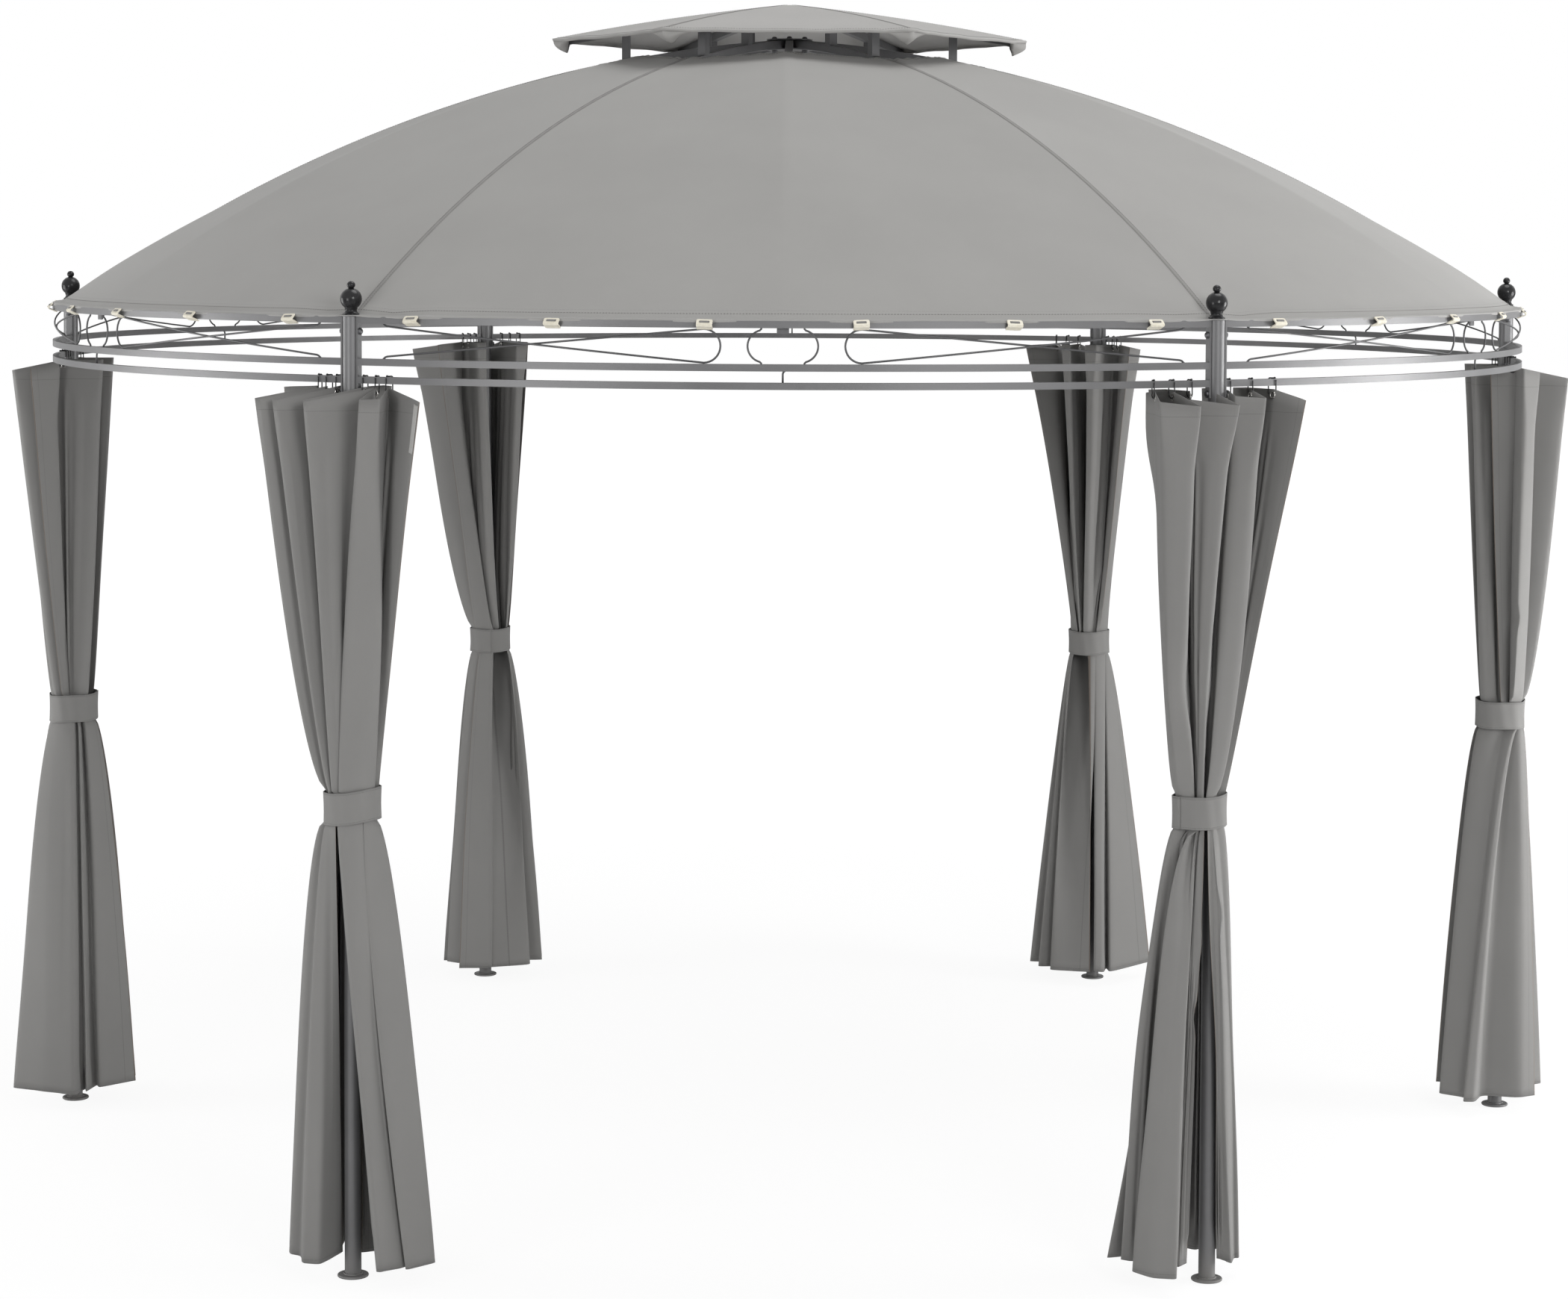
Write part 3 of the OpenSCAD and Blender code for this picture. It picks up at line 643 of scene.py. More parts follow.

# The felled seams lie over the post ribs: a flat band folded over the join, and two rows
# of dark thread along it, each stitch a short raised loop of its own. The band's colour is
# darker than the canopy's cloth, painted shade for the crease along each seam.

seam_half = 0.0065
seam_section = [(-1.0, 0.0), (-0.9, 0.0008), (-0.2, 0.0010), (0.0, 0.0013), (0.2, 0.0010), (0.9, 0.0008), (1.0, 0.0)]
seam_radii = np.linspace(vent_r + 0.001, ring_r - post_r - 0.004, 90)
seam_faces = [(a, d, c, b) for a, b, c, d in sheet_faces(len(seam_radii), len(seam_section))]
seam_shapes, seam_uv, stitches = [], [], []
stitch_points = [Vector((x, y, z)) for x, z in ((-0.5, -0.2), (-0.3, 1.0), (0.3, 1.0), (0.5, -0.2)) for y in (-1, 1)]
stitch_faces = [(0, 1, 3, 2), (2, 3, 5, 4), (4, 5, 7, 6), (0, 2, 4, 6), (1, 7, 5, 3)]
stitch_size, stitch_pitch, hem_pitch = (0.0036, 0.00055, 0.0006), 0.0056, 0.0062


def add_stitch(place, ahead):
    """One stitch at a place: a low loop of thread that lies ahead and stands up."""
    ahead = ahead.normalized()
    side = up(1).cross(ahead).normalized()
    edges = [edge * size for edge, size in zip((ahead, side, ahead.cross(side)), stitch_size)]
    stitches.append((stitch_points, stitch_faces, Matrix.Translation(place) @ Matrix(edges).transposed().to_4x4()))


def seam_stitches(azimuth, line, radii, off, lift):
    """Two rows of stitches down an arch, off to its sides and lifted from it."""
    out, along = axes(azimuth)
    for x in (-off, off):
        for r in radii:
            z = arch_z(line, r)
            add_stitch(out * r + along * x + up(z + lift), up(arch_z(line, r + 0.001) - z) + out * 0.001)


for azimuth in POSTS:
    out, along = axes(azimuth)
    points = []
    for r in seam_radii:
        for x, lift in seam_section:
            pucker = 0.00025 * sin(r * 2 * pi / 0.021 + x * 2)
            points.append(out * r + along * x * seam_half + up(arch_z(post_arch, r) + 0.0030 + lift + pucker))
            seam_uv.append((x * seam_half + 0.5, r))
    seam_shapes.append((points, seam_faces, Matrix()))
    seam_stitches(azimuth, post_arch, np.arange(vent_r + 0.006, ring_r - post_r - 0.02, stitch_pitch), 0.0042, 0.0040)
# Darker than the canopy's cloth: painted shade along the seam's crease.
seam_cloth_painted_shade = woven("canopy_seam_weave_painted_shade", (0.262, 0.257, 0.249), 0.84, roof_weave)
seams = make_piece("canopy_seams", *joined(seam_shapes), seam_cloth_painted_shade, seam_uv)
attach(seams, "root")

# ---------------------------------------------------------------- vent cap
# A six-sided tent of the same cloth over the cap's rafters, hemmed all round. Its colour is
# lighter than the canopy's, painted light on its upturned faces. A pocket is sewn under each
# corner and slips over the rafter's end.

cap_r, cap_apex_z, cap_rise, cap_down = 0.573, rib_apex_z + 0.081, 0.085, 0.6
cap_arch = arch(cap_r, cap_apex_z - cap_rise, cap_apex_z, 6.0)


def cap_point(k, f, t):
    """The cap from rafter k (f = 0) to the next (f = 1), at a share t out from the apex."""
    r, ends = cap_r * t, []
    for rafter, side in ((k, 1), (k + 1, -1)):
        out, along = axes(POSTS[rafter % 6])
        ends.append(out * r + along * side * rib_half * min(1.0, 4 * t) + up(arch_z(cap_arch, r) + cloth_lift))
    p = ends[0].lerp(ends[1], f)
    pull = sin(pi * f)
    p_r = hypot(p.x, p.y)
    if p_r > 1e-6:
        inward = (p_r - 0.016 * t * t * pull) / p_r
        p.x, p.y = p.x * inward, p.y * inward
    p.z -= 0.004 * pull * sin(pi * t) + 0.003 * pull * t**6
    beside = min(f, 1 - f)
    p.z -= 0.0022 * exp(-(((beside - 0.10) / 0.05) ** 2)) * smooth(0.55, 1.0, t)
    p.z += 0.0010 * sin(2 * pi * (f * 3 + 0.2 * k)) * smooth(0.9, 1.0, t) * pull
    return p


def cap_over_rafter(k, t):
    return (cap_point(k - 1, 1.0, t) + cap_point(k, 0.0, t)) / 2 + up(0.0005 * min(1, 4 * t))


cap_shares = [0.0] + list(np.linspace(0.03, 0.955, 30)) + [0.967, 0.9685, 0.978, 0.988, 0.995, 1.0]
cap_spans = [0, 0.01, 0.03, 0.06, 0.10, 0.15, 0.21, 0.28, 0.36, 0.45]
cap_spans += [1 - f for f in reversed(cap_spans)]
cap_grid, cap_uv = sewn_rows(
    cap_shares, 6, cap_spans, cap_point, cap_over_rafter, lambda t: t > 0.968, (0.4, cap_down)
)
cap_edge = cap_grid[-1]
for inward, drop in ((0.0006, 0.0024), (0.0022, 0.0060)):
    cap_grid.append([p - Vector((p.x, p.y, 0)).normalized() * inward - up(drop) for p in cap_edge])
    cap_uv.append([(u, cap_down + drop) for u, _ in cap_uv[-1]])
# The same cloth as the canopy, made lighter: painted light on the cap's upturned faces, and on its pockets.
cap_cloth_painted_light = woven("cap_weave_painted_light", (0.392, 0.385, 0.375), 0.82, roof_weave, lines=[("down", 0.587, 0.0009)])
cap = grid_piece("cap_sheet", cap_grid, cap_uv, cap_cloth_painted_light, cloth_t, closed=True)
weld_apex = cap.modifiers.new("joined_apex", "WELD")
weld_apex.merge_threshold = 0.0001
cap.modifiers.move(1, 0)
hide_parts("cap_canopy")
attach(cap, "root")

pocket_shapes, across_steps, down_steps = [], 17, 9
tip_z = arch_z(cap_arch, cap_r) + cloth_lift
for k in range(6):
    points = []
    for v in np.linspace(0, 1, down_steps):
        for u in np.linspace(-1, 1, across_steps):
            away = abs(u) * 0.075
            hem = Vector((cap_r - 0.0015 - away * 0.52, copysign(away * 0.86, u), tip_z - 0.0035 - 0.0012 * abs(u)))
            low = Vector((0.5385 - 0.006 * abs(u), u * 0.030, tip_z - 0.034 + 0.026 * abs(u) ** 1.3))
            p = hem.lerp(low, v**0.9) + Vector((0.012 * (1 - abs(u)), u * 0.010, 0)) * sin(pi * v)
            p.x += 0.0022 * sin(5.5 * u + 1.1 * k + 3 * v) * sin(pi * min(1, 1.15 * v))
            p.z -= 0.0016 * cos(9 * u + k) * v
            points.append(p)
    pocket_shapes.append((points, sheet_faces(down_steps, across_steps), Matrix.Rotation(POSTS[k], 4, "Z")))
pocket_uv = [(0.3 + 0.004 * i, 0.2 + 0.004 * j) for j in range(down_steps) for i in range(across_steps)] * 6
pockets = thicken(make_piece("cap_pockets", *joined(pocket_shapes), cap_cloth_painted_light, pocket_uv), cloth_t)
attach(pockets, "root")

# Stitches: two dark rows along each canopy seam and cap ridge, and one round each hem.
for azimuth in POSTS:
    seam_stitches(azimuth, cap_arch, np.arange(0.02, cap_r - 0.02, stitch_pitch), 0.0036, 0.0034)
for row in (canopy_grid[3], canopy_grid[len(shares) - 3], cap_grid[len(cap_shares) - 4]):
    spare = 0.0
    for p, q in zip(row, row[1:] + row[:1]):
        gap = (q - p).length
        while spare < gap:
            add_stitch(p.lerp(q, spare / gap) + up(0.0008), q - p)
            spare += hem_pitch
        spare -= gap
thread = fine_grained(
    "dark_thread", (0.16, 0.157, 0.15), 0.7, (1500.0, 1.0), (0.13, 0.128, 0.122), (0.20, 0.196, 0.188)
)
threads = make_piece("canopy_stitches", *joined(stitches), thread, smooth=False)
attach(threads, "root")

# ---------------------------------------------------------------- finials
# Turned balls on a flared foot, with a small bead on top, cast and lacquered gloss black.
# Each screws down into its post and clamps the canopy's corner there.

lacquer = fine_grained(
    "black_lacquer", (0.008, 0.008, 0.009), 0.30, (90.0, 2.0), (0.010, 0.010, 0.011), (0.020, 0.020, 0.021),
    gloss=(0.18, 0.30), relief=(0.05, 0.0006), Specular_IOR_Level=0.2, Coat_Weight=0.12, Coat_Roughness=0.12,
)
finial_z = post_h + 0.0003 + 0.0025 + 0.0003
ball_r, ball_z, bead_r, bead_z = 0.022, 0.032, 0.0085, 0.0600
profile = [(0.0166, 0.0), (0.0170, 0.0005), (0.0170, 0.0020), (0.0166, 0.0026), (0.0152, 0.0031), (0.0140, 0.0042)]
profile += [(0.0128, 0.0058), (0.0120, 0.0075), (0.0116, 0.0092), (0.0119, 0.0104), (0.0128, 0.0112)]
profile += [(ball_r * cos(a), ball_z + ball_r * sin(a)) for a in np.linspace(-0.93, 1.32, 22)]
profile += [(0.0040, 0.0540), (0.0041, 0.0546)]
profile += [(bead_r * cos(a), bead_z + 0.0080 * sin(a)) for a in np.linspace(-0.95, 1.50, 14)]
finial = lathe(profile, 40)
seated = [(*finial, Matrix.Translation(on_post(a, 0, 0, finial_z))) for a in POSTS]
finials = make_piece("ball_finials", *joined(seated), lacquer)
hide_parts("finials")
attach(finials, "root")

# ---------------------------------------------------------------- canopy clips
# Cream moulded clips, six in a bay: a slotted plate on the canopy's hem, bent back in a
# tongue under the top rail. A loop of grey webbing through the slot ties it to the hem.

clip_mould = fine_grained(
    "cream_plastic", (0.73, 0.69, 0.58), 0.46, (140.0, 3.0), (0.70, 0.655, 0.54), (0.77, 0.735, 0.63),
    steep=True, gloss=(0.40, 0.54), relief=(0.1, 0.0003), Specular_IOR_Level=0.45,
)


def round_corners(w, h, r, steps=4):
    """The outline of a rectangle of width w and height h with its corners rounded."""
    outline = []
    for n, (x, y) in enumerate(((1, 1), (-1, 1), (-1, -1), (1, -1))):
        for k in range(steps + 1):
            a = radians(90 * (n + k / steps))
            outline.append((x * (w / 2 - r) + r * cos(a), y * (h / 2 - r) + r * sin(a)))
    return outline


def framed_plate(outer, inner, thickness, soft=0.0005):
    """A plate with a hole: two outlines of as many points, with softened outer edges."""
    half = thickness / 2
    drawn_in = [[c * (1 - soft / abs(c) if abs(c) > soft else 1) for c in corner] for corner in outer]
    rings = [(inner, -half), (drawn_in, -half), (outer, soft - half)]
    rings += [(outline, -z) for outline, z in reversed(rings)]
    points = [Vector((*corner, z)) for outline, z in rings for corner in outline]
    return points, tube_faces(len(rings), len(outer), closed=True)


def bent_strip(path, width, thickness, ends=1.0):
    """A flat strip bent along (out, up) points, centred on its width, with blunt ends."""
    points = []
    for (x0, z0), (x, z), (x1, z1) in zip(path[:1] + path, path, path[1:] + path[-1:]):
        size = hypot(x1 - x0, z1 - z0)
        nx, nz = (z0 - z1) / size * thickness / 2, (x1 - x0) / size * thickness / 2
        half = width / 2 * (ends if (x, z) == path[-1] else 1.0)
        for face, y in ((1, -half), (1, half), (-1, half), (-1, -half)):
            points.append(Vector((x + face * nx, y, z + face * nz)))
    return points, tube_faces(len(path), 4)


head = Vector((rail_out + 0.0042, 0, post_h + 0.0008))
nose = Vector((rail_out + 0.0118, 0, post_h - 0.0062))
heel = Vector((rail_out - 0.0030, 0, post_h - 0.0158))
lean, across = (head - nose).normalized(), Vector((0, 1, 0))
slot = nose.lerp(head, 0.46) + lean * 0.0004
plate_seat = Matrix.Translation(slot) @ Matrix((across, lean, across.cross(lean))).transposed().to_4x4()
plate = framed_plate(round_corners(0.032, 0.0150, 0.0038), round_corners(0.0200, 0.0056, 0.0012), 0.0026)
tongue_path = [(nose.x + x, nose.z + z) for x, z in ((-0.0006, -0.0004), (0.0003, -0.0022), (-0.0012, -0.0040))]
tongue_path += [(heel.x + x, heel.z + z) for x, z in ((0.006, 0.0030), (0, 0), (-0.0045, -0.0010))]
tongue = bent_strip(tongue_path, 0.0315, 0.0024, 0.86)
loop_path = [(rail_out - 0.0012, post_h + 0.0008), (rail_out + 0.0016, post_h + 0.0012)]
round_slot = ((-0.0005, 0.0024), (0.0024, 0.0016), (0.0022, -0.0006), (-0.0006, -0.0010))
loop_path += [(slot.x + x, slot.z + z) for x, z in round_slot]
webbing_loop = bent_strip(loop_path + [(rail_out + 0.0016, post_h - 0.0016)], 0.0185, 0.0010)
clip_parts, webbing_parts = [], []
for bay in range(6):
    for k in range(6):
        turn = Matrix.Rotation(radians(60 * bay + 10 * (k + 0.5)), 4, "Z")
        tilt = Matrix.Rotation(radians(2.5 * sin(5 * bay + 2.3 * k)), 4, "X")
        settle = turn @ Matrix.Translation(nose) @ tilt @ Matrix.Translation(-nose)
        clip_parts += [(*plate, settle @ plate_seat), (*tongue, settle)]
        webbing_parts.append((*webbing_loop, settle))
clips = make_piece("canopy_clip_plates", *joined(clip_parts), clip_mould, smooth=False)
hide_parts("canopy_clips")
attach(clips, "root")
ribbed, shade, shader = finish_with("grey_webbing", (0.20, 0.197, 0.19), 0.85)
bands = {"wave_type": "BANDS", "bands_direction": "Z"}
ribs = shade.node("TexWave", bands, {"Vector": shade.place(), "Scale": 180.0, "Distortion": 1.0}, output="Fac")
dyed_ribs = ribs.blend((0.17, 0.168, 0.16), (0.24, 0.236, 0.228))
plug(shade, shader, Base_Color=dyed_ribs, Normal=shade.bump(0.3, 0.0004, ribs))
webbing = make_piece("clip_webbing", *joined(webbing_parts), ribbed, smooth=False)
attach(webbing, "root")

# ---------------------------------------------------------------- curtain hooks
# Open rings of black coated wire round the low rail, with a ball on the end. The CAD
# hooks stay, under the same gloss black as the finials.

refinish("curtain_hooks", lacquer)

# ---------------------------------------------------------------- curtains
# Twelve unlined panels of woven polyester, two at each post, each 0.90 m wide and hung
# from three eyelets. They fall in deep folds, are tied to the post at waist height and
# open out again to a stitched hem. Each is one sheet through the folds that it hangs in.

panel_w, panel_h = 0.90, 1.785
cloth_top, tie_top, tie_low, hem_z = 1.8185, 1.003, 0.937, 0.040
eyelet_z = 1.8065

# The line of each panel's head and hem, from its free edge to the edge at the post, as
# (along the ring, out from the post) in millimetres. Head points 1, 4 and 7 are eyelets.
PANELS = {
    "1_left": (
        [(-126, -60), (-116, 0), (-165, 52), (-186, 8), (-78, 0), (-112, 130), (-70, 132), (-40, 0),
         (-56, -84), (-20, -88), (-20, -28)],
        [(-100, 78), (-118, 38), (-84, -50), (-140, -74), (-138, -103), (-104, -90), (-64, -157), (-30, -70),
         (-20, -130), (-12, -60), (-44, 40), (-46, 96), (-16, 40)],
    ),
    "1_right": (
        [(150, -60), (106, 0), (122, 104), (84, 112), (76, 0), (84, -84), (56, -86), (46, 0), (46, 110),
         (14, 112), (18, 28)],
        [(38, -138), (30, -62), (84, -122), (56, -48), (138, -70), (70, -10), (146, 16), (84, 44), (114, 94),
         (56, 80), (48, 128), (22, 80), (14, 38)],
    ),
    "2_left": (
        [(-128, -60), (-66, 0), (-100, 72), (-76, 84), (-48, 0), (-40, -92), (-4, -94), (-30, 0), (-54, 128),
         (-14, 130), (-18, 28)],
        [(-132, 104), (-95, -85), (-62, -40), (-88, -112), (-62, -125), (-40, -60), (-70, -20), (-36, -10),
         (-80, 50), (-40, 40), (-84, 90), (-40, 80), (-10, 40)],
    ),
    "2_right": (
        [(196, -66), (129, 0), (142, 104), (108, 112), (94, 0), (70, -92), (42, -94), (59, 0), (52, 112),
         (18, 114), (20, 28)],
        [(-50, -119), (69, -148), (62, -90), (113, -134), (100, -75), (158, -103), (105, -40), (186, -20),
         (118, 20), (166, 80), (92, 70), (82, 134), (26, 40)],
    ),
    "3_left": (
        [(-114, -42), (-102, 0), (-150, 128), (-112, 130), (-76, 0), (-88, -96), (-54, -94), (-50, 0),
         (-48, 106), (-16, 108), (-20, 28)],
        [(54, -98), (-88, -132), (-66, -72), (-140, -104), (-90, -50), (-170, -40), (-106, -8), (-172, 20),
         (-100, 40), (-144, 84), (-66, 70), (-66, 132), (-18, 38)],
    ),
    "3_right": (
        [(181, -75), (70, 0), (178, 108), (148, 114), (51, 0), (66, -92), (40, -92), (32, 0), (36, 108),
         (10, 108), (18, 28)],
        [(114, -70), (36, -124), (12, -60), (92, -42), (118, 20), (60, 10), (112, 60), (50, 40), (82, 110),
         (35, 70), (30, 135), (8, 82), (8, 38)],
    ),
    "4_left": (
        [(-150, -70), (-96, 0), (-130, 105), (-92, 112), (-66, 0), (-80, -88), (-52, -90), (-36, 0),
         (-52, 110), (-16, 112), (-18, 28)],
        [(-40, -140), (-30, -60), (-90, -120), (-55, -45), (-135, -72), (-70, -8), (-150, 12), (-85, 40),
         (-118, 92), (-58, 78), (-62, 138), (-22, 90), (-14, 40)],
    ),
    "4_right": (
        [(176, 62), (120, 0), (138, 108), (98, 122), (86, 0), (96, -92), (60, -90), (52, 0), (58, 116),
         (18, 118), (20, 28)],
        [(14, -150), (88, -76), (52, -62), (112, -48), (70, -38), (136, -27), (128, 10), (118, 60), (90, 142),
         (50, 78), (10, 134), (-10, 82), (16, 44)],
    ),
    "5_left": (
        [(-182, -15), (-80, 0), (-157, 112), (-139, 116), (-56, 0), (-108, 118), (-94, 122), (-32, 0),
         (-65, -62), (-37, -80), (-27, -26)],
        [(-39, -140), (-34, -55), (-109, -125), (-60, -40), (-161, -60), (-61, -10), (-148, 18), (-109, 70),
         (-81, 66), (-57, 95), (-24, 81), (-29, 35), (-35, -11)],
    ),
    "5_right": (
        [(228, 80), (93, 0), (137, 88), (96, 102), (64, 0), (-18, 124), (-32, 116), (35, 0), (57, -60),
         (18, -85), (22, -26)],
        [(48, -140), (73, -60), (126, -110), (113, -40), (181, -48), (162, 45), (153, 10), (150, 35),
         (126, 73), (110, 70), (53, -20), (18, -60), (2, -26)],
    ),
    "6_left": (
        [(-110, -80), (-150, 0), (-193, 78), (-122, 120), (-107, 0), (-103, -90), (-61, -90), (-64, 0),
         (-110, 64), (-27, 120), (-17, 27)],
        [(-100, -140), (-180, -108), (-112, -88), (-167, -72), (-154, -46), (-61, -30), (-186, -12),
         (-173, 49), (-131, 82), (-109, 25), (-93, 20), (-89, 29), (-64, 18)],
    ),
    "6_right": (
        [(174, 70), (146, 0), (148, -96), (115, -98), (88, 0), (75, 70), (14, 46), (30, 0), (67, -92),
         (36, -98), (25, -26)],
        [(6, -134), (22, -60), (106, -120), (30, -28), (116, -70), (39, -12), (87, -8), (68, 18), (59, 12),
         (28, 46), (22, 36), (16, 28), (10, 20)],
    ),
}

# How the same points are gathered in the tie, just above it and just below, as (degrees
# from straight out, millimetres from the middle of the bundle), or None where they are
# evenly drawn in, and how fast single points spread from it: below 1 early, above 1 late.
GATHERED = {
    "1_left": (
        [(-100, 52), (-62, 36), (-24, 53), (-80, 53), (-62, 30), (-22, 53), (-8, 53), (-90, 26), (-138, 52),
         (-167, 52), (-144, 26)],
        [(-8, 53), (-42, 52), (-60, 30), (-50, 53), (-57, 53), (-75, 26), (-176, 53), (-157, 26), (-186, 50),
         (-169, 26), (-32, 26), (-20, 50), (-22, 28)],
        {2: 0.6, 3: 0.28, 5: 0.6, 6: 0.6}, {},
    ),
    "2_left": (
        [(-120, 53), (-133, 50), (-62, 53), (-50, 53), (-140, 40), (-157, 53), (-175, 53), (-150, 30),
         (-20, 52), (0, 52), (-60, 26)],
        [(-62, 53), (-87, 53), (-100, 40), (-90, 53), (-137, 53), (-130, 40), (-100, 30), (-120, 26),
         (-70, 40), (-60, 30), (-50, 40), (-40, 30), (-30, 30)],
        {0: 0.9, 2: 1.2, 3: 1.2, 5: 0.9, 6: 0.9}, {0: 0.75, 1: 0.7, 3: 0.7, 4: 0.7},
    ),
    "2_right": (
        [(138, 53), (171, 50), (110, 52), (95, 52), (175, 40), (174, 53), (179, 53), (180, 40), (60, 52),
         (40, 52), (90, 26)],
        None,
        {0: 1.2}, {3: 0.75, 5: 0.8, 7: 0.8, 9: 0.8},
    ),
    "3_right": (
        [(100, 53), (172, 51), (72, 53), (58, 53), (120, 26), (178, 45), (190, 45), (150, 24), (20, 52),
         (8, 52), (60, 26)],
        None,
        {0: 0.9, 1: 0.75, 2: 0.7, 3: 0.7}, {},
    ),
    "5_left": (
        [(-85, 53), (-70, 24), (-47, 53), (-36, 53), (-38, 24), (-27, 53), (-19, 53), (-12, 24), (-114, 51),
         (-145, 52), (-130, 24)],
        [(-150, 50), (-130, 26), (-125, 52), (-110, 26), (-95, 53), (-80, 28), (-65, 53), (-50, 53), (-42, 42),
         (-35, 53), (-22, 53), (-10, 53), (-1, 53)],
        {0: 0.62, 2: 0.62, 3: 0.62, 5: 0.8, 6: 0.8},
        {6: 0.45, 7: 0.43, 8: 0.5, 9: 0.52, 10: 0.7, 11: 0.9, 12: 1.0},
    ),
    "5_right": (
        [(133, 53), (115, 24), (100, 53), (0, 53), (35, 24), (-8, 53), (-16, 51), (86, 24), (168, 51),
         (196, 51), (190, 24)],
        [(165, 50), (150, 26), (138, 52), (125, 27), (105, 53), (64, 50), (66, 43), (63, 49), (4, 53), (2, 50),
         (10, 30), (180, 30), (200, 24)],
        {0: 1.05, 3: 1.7, 5: 0.95, 6: 0.95},
        {5: 1.5, 6: 1.4, 7: 1.5, 8: 1.05, 9: 1.15},
    ),
    "6_left": (
        [(-142, 53), (-113, 53), (-86, 53), (-46, 53), (-86, 18), (-188, 53), (-208, 53), (-52, 23), (-47, 42),
         (-27, 53), (-22, 13)],
        [(-180, 53), (-150, 50), (-140, 26), (-118, 53), (-100, 53), (-66, 34), (-34, 53), (-54, 38),
         (-46, 44), (-42, 52), (-36, 36), (-33, 45), (-26, 53)],
        {0: 1.25, 1: 0.5, 2: 0.6, 3: 1.0, 8: 1.3, 9: 1.6, 10: 1.6},
        {0: 1.0, 1: 1.15, 2: 1.0, 3: 0.6, 4: 0.5, 5: 0.45, 6: 0.4, 7: 0.75, 8: 1.0, 12: 1.2},
    ),
    "6_right": (
        [(51, 53), (36, 35), (92, 53), (107, 53), (38, 32), (-3, 53), (-24, 53), (0, 23), (116, 51), (128, 53),
         (122, 43)],
        [(184, 52), (140, 26), (98, 53), (85, 27), (70, 53), (60, 28), (41, 53), (30, 53), (10, 48), (-5, 53),
         (-10, 52), (-14, 52), (-18, 53)],
        {0: 0.95, 1: 0.95, 5: 0.52, 6: 0.8},
        {6: 0.65, 7: 0.65, 9: 0.8, 12: 1.0},
    ),
}

# How far each tied bundle has slipped along the ring from its post in millimetres, with its
# girth, and the dents in single folds: (above the tie or not, point, where, how tall, along, out).
BUNDLES = [(0, 1.04), (20, 1.0), (-16, 1.0), (0, 1.0), (0, 1.02), (-29, 0.95)]
DENTS = {
    "1_left": [(True, 3, 0.26, 0.03, 0, 3)],
    "5_right": [(True, 2, 0.40, 0.30, 10, -6), (False, 8, 0.16, 0.03, 3, -4)],
    "6_left": [(True, 0, 0.88, 0.12, -14, 0), (True, 3, 0.27, 0.10, -16, -4), (True, 3, 0.42, 0.28, -22, -6),
               (True, 2, 0.27, 0.10, -6, 4), (False, 3, 0.5, 0.25, -10, 0),
               (False, 12, 0.43, 0.03, -8, -4), (False, 12, 0.26, 0.04, 4, 2)],
    "6_right": [(False, 9, 0.19, 0.04, 7, 3), (False, 12, 0.5, 0.2, 5, 3)],
}

# Stretches of a panel, in head points, that show in front of others and stay uncreased.
CALM = {
    "1_left": (0, 5.2), "2_left": (0, 1.5), "2_right": (0, 2), "3_left": (0, 1.3), "3_right": (0, 2),
    "4_right": (0, 2), "5_left": (7.8, 10.1), "5_right": (1.2, 3.2), "6_left": (1, 3.2), "6_right": (4.4, 6.6),
}
head_step = 12
columns = 10 * head_step + 1
packed_w, deepest_crease, post_clear, cover, cover_fade = 735, 19.0, 20.5, 12, 14
bundle_skin, bundle_core, pinch = 52.5, 26, 0.985
ways = np.linspace(0, 2 * pi, 48, endpoint=False)
compass = np.stack([np.cos(ways), np.sin(ways)])


def along_line(corners, softness=0.0):
    """Values at the columns along a line of corners, with more columns by the corners,
    each corner rounded off over a share of the sides that meet in it."""
    corners = np.array(corners, dtype=float)
    sides = len(corners) - 1
    line = []
    for t in np.linspace(0, sides, columns):
        t = t - 0.5 * sin(2 * pi * t) / (2 * pi)
        k = int(round(t))
        if 0 < k < sides and abs(t - k) < softness:
            before, after = (corners[k] + (corners[n] - corners[k]) * softness for n in (k - 1, k + 1))
            q = (t - k + softness) / (2 * softness)
            line.append(before * (1 - q) ** 2 + corners[k] * 2 * q * (1 - q) + after * q * q)
        else:
            k = min(int(t), sides - 1)
            line.append(corners[k] + (corners[k + 1] - corners[k]) * (t - k))
    return np.array(line)


def evenly_gathered(corners):
    """Outer folds on the bundle's skin in the direction they hang in, inner ones inside."""
    drawn = []
    for k, (s, r) in enumerate(corners):
        outer = abs(r) > 55 if len(corners) == 11 else hypot(s, r) > 90
        drawn.append((degrees(atan2(s, r)), bundle_skin if outer or k == 0 else bundle_core))
    return drawn


def in_bundle(corners, middle, girth):
    """The gathered line in millimetres: outer stretches follow the bundle's round skin."""
    polar = along_line(corners, 0.22)
    polar[:, 1] *= girth
    a = np.radians(polar[:, 0])
    return np.stack([middle + polar[:, 1] * np.sin(a), polar[:, 1] * np.cos(a)], axis=1)


def length(line):
    return np.hypot(*np.diff(line, axis=0).T).sum()


def packed(pair, dice, ease):
    """The two lines of a curtain at one height. Where the outer folds hide the cloth it is
    creased to and fro, until each line is as long as the cloth that has to be there."""
    reach = (np.concatenate(pair) @ compass).max(axis=0)
    done = []
    for line, chance in zip(pair, dice):
        hidden = np.clip(((reach - line @ compass).min(axis=1) - cover) / cover_fade, 0, 1) * chance * ease
        ahead = np.gradient(line, axis=0)
        ahead /= np.maximum(np.hypot(*ahead.T), 1e-6)[:, None]
        zigzag = hidden * np.tile([0, 1, 0, -1], columns)[:columns]
        crease = np.stack([-ahead[:, 1], ahead[:, 0]], axis=1) * zigzag[:, None]
        low, high = 0.0, deepest_crease
        for _ in range(10):
            middle = (low + high) / 2
            low, high = (middle, high) if length(line + crease * middle) < packed_w else (low, middle)
        line = line + crease * low
        done.append(line * np.maximum(1, post_clear / np.hypot(*line.T))[:, None])
    return done


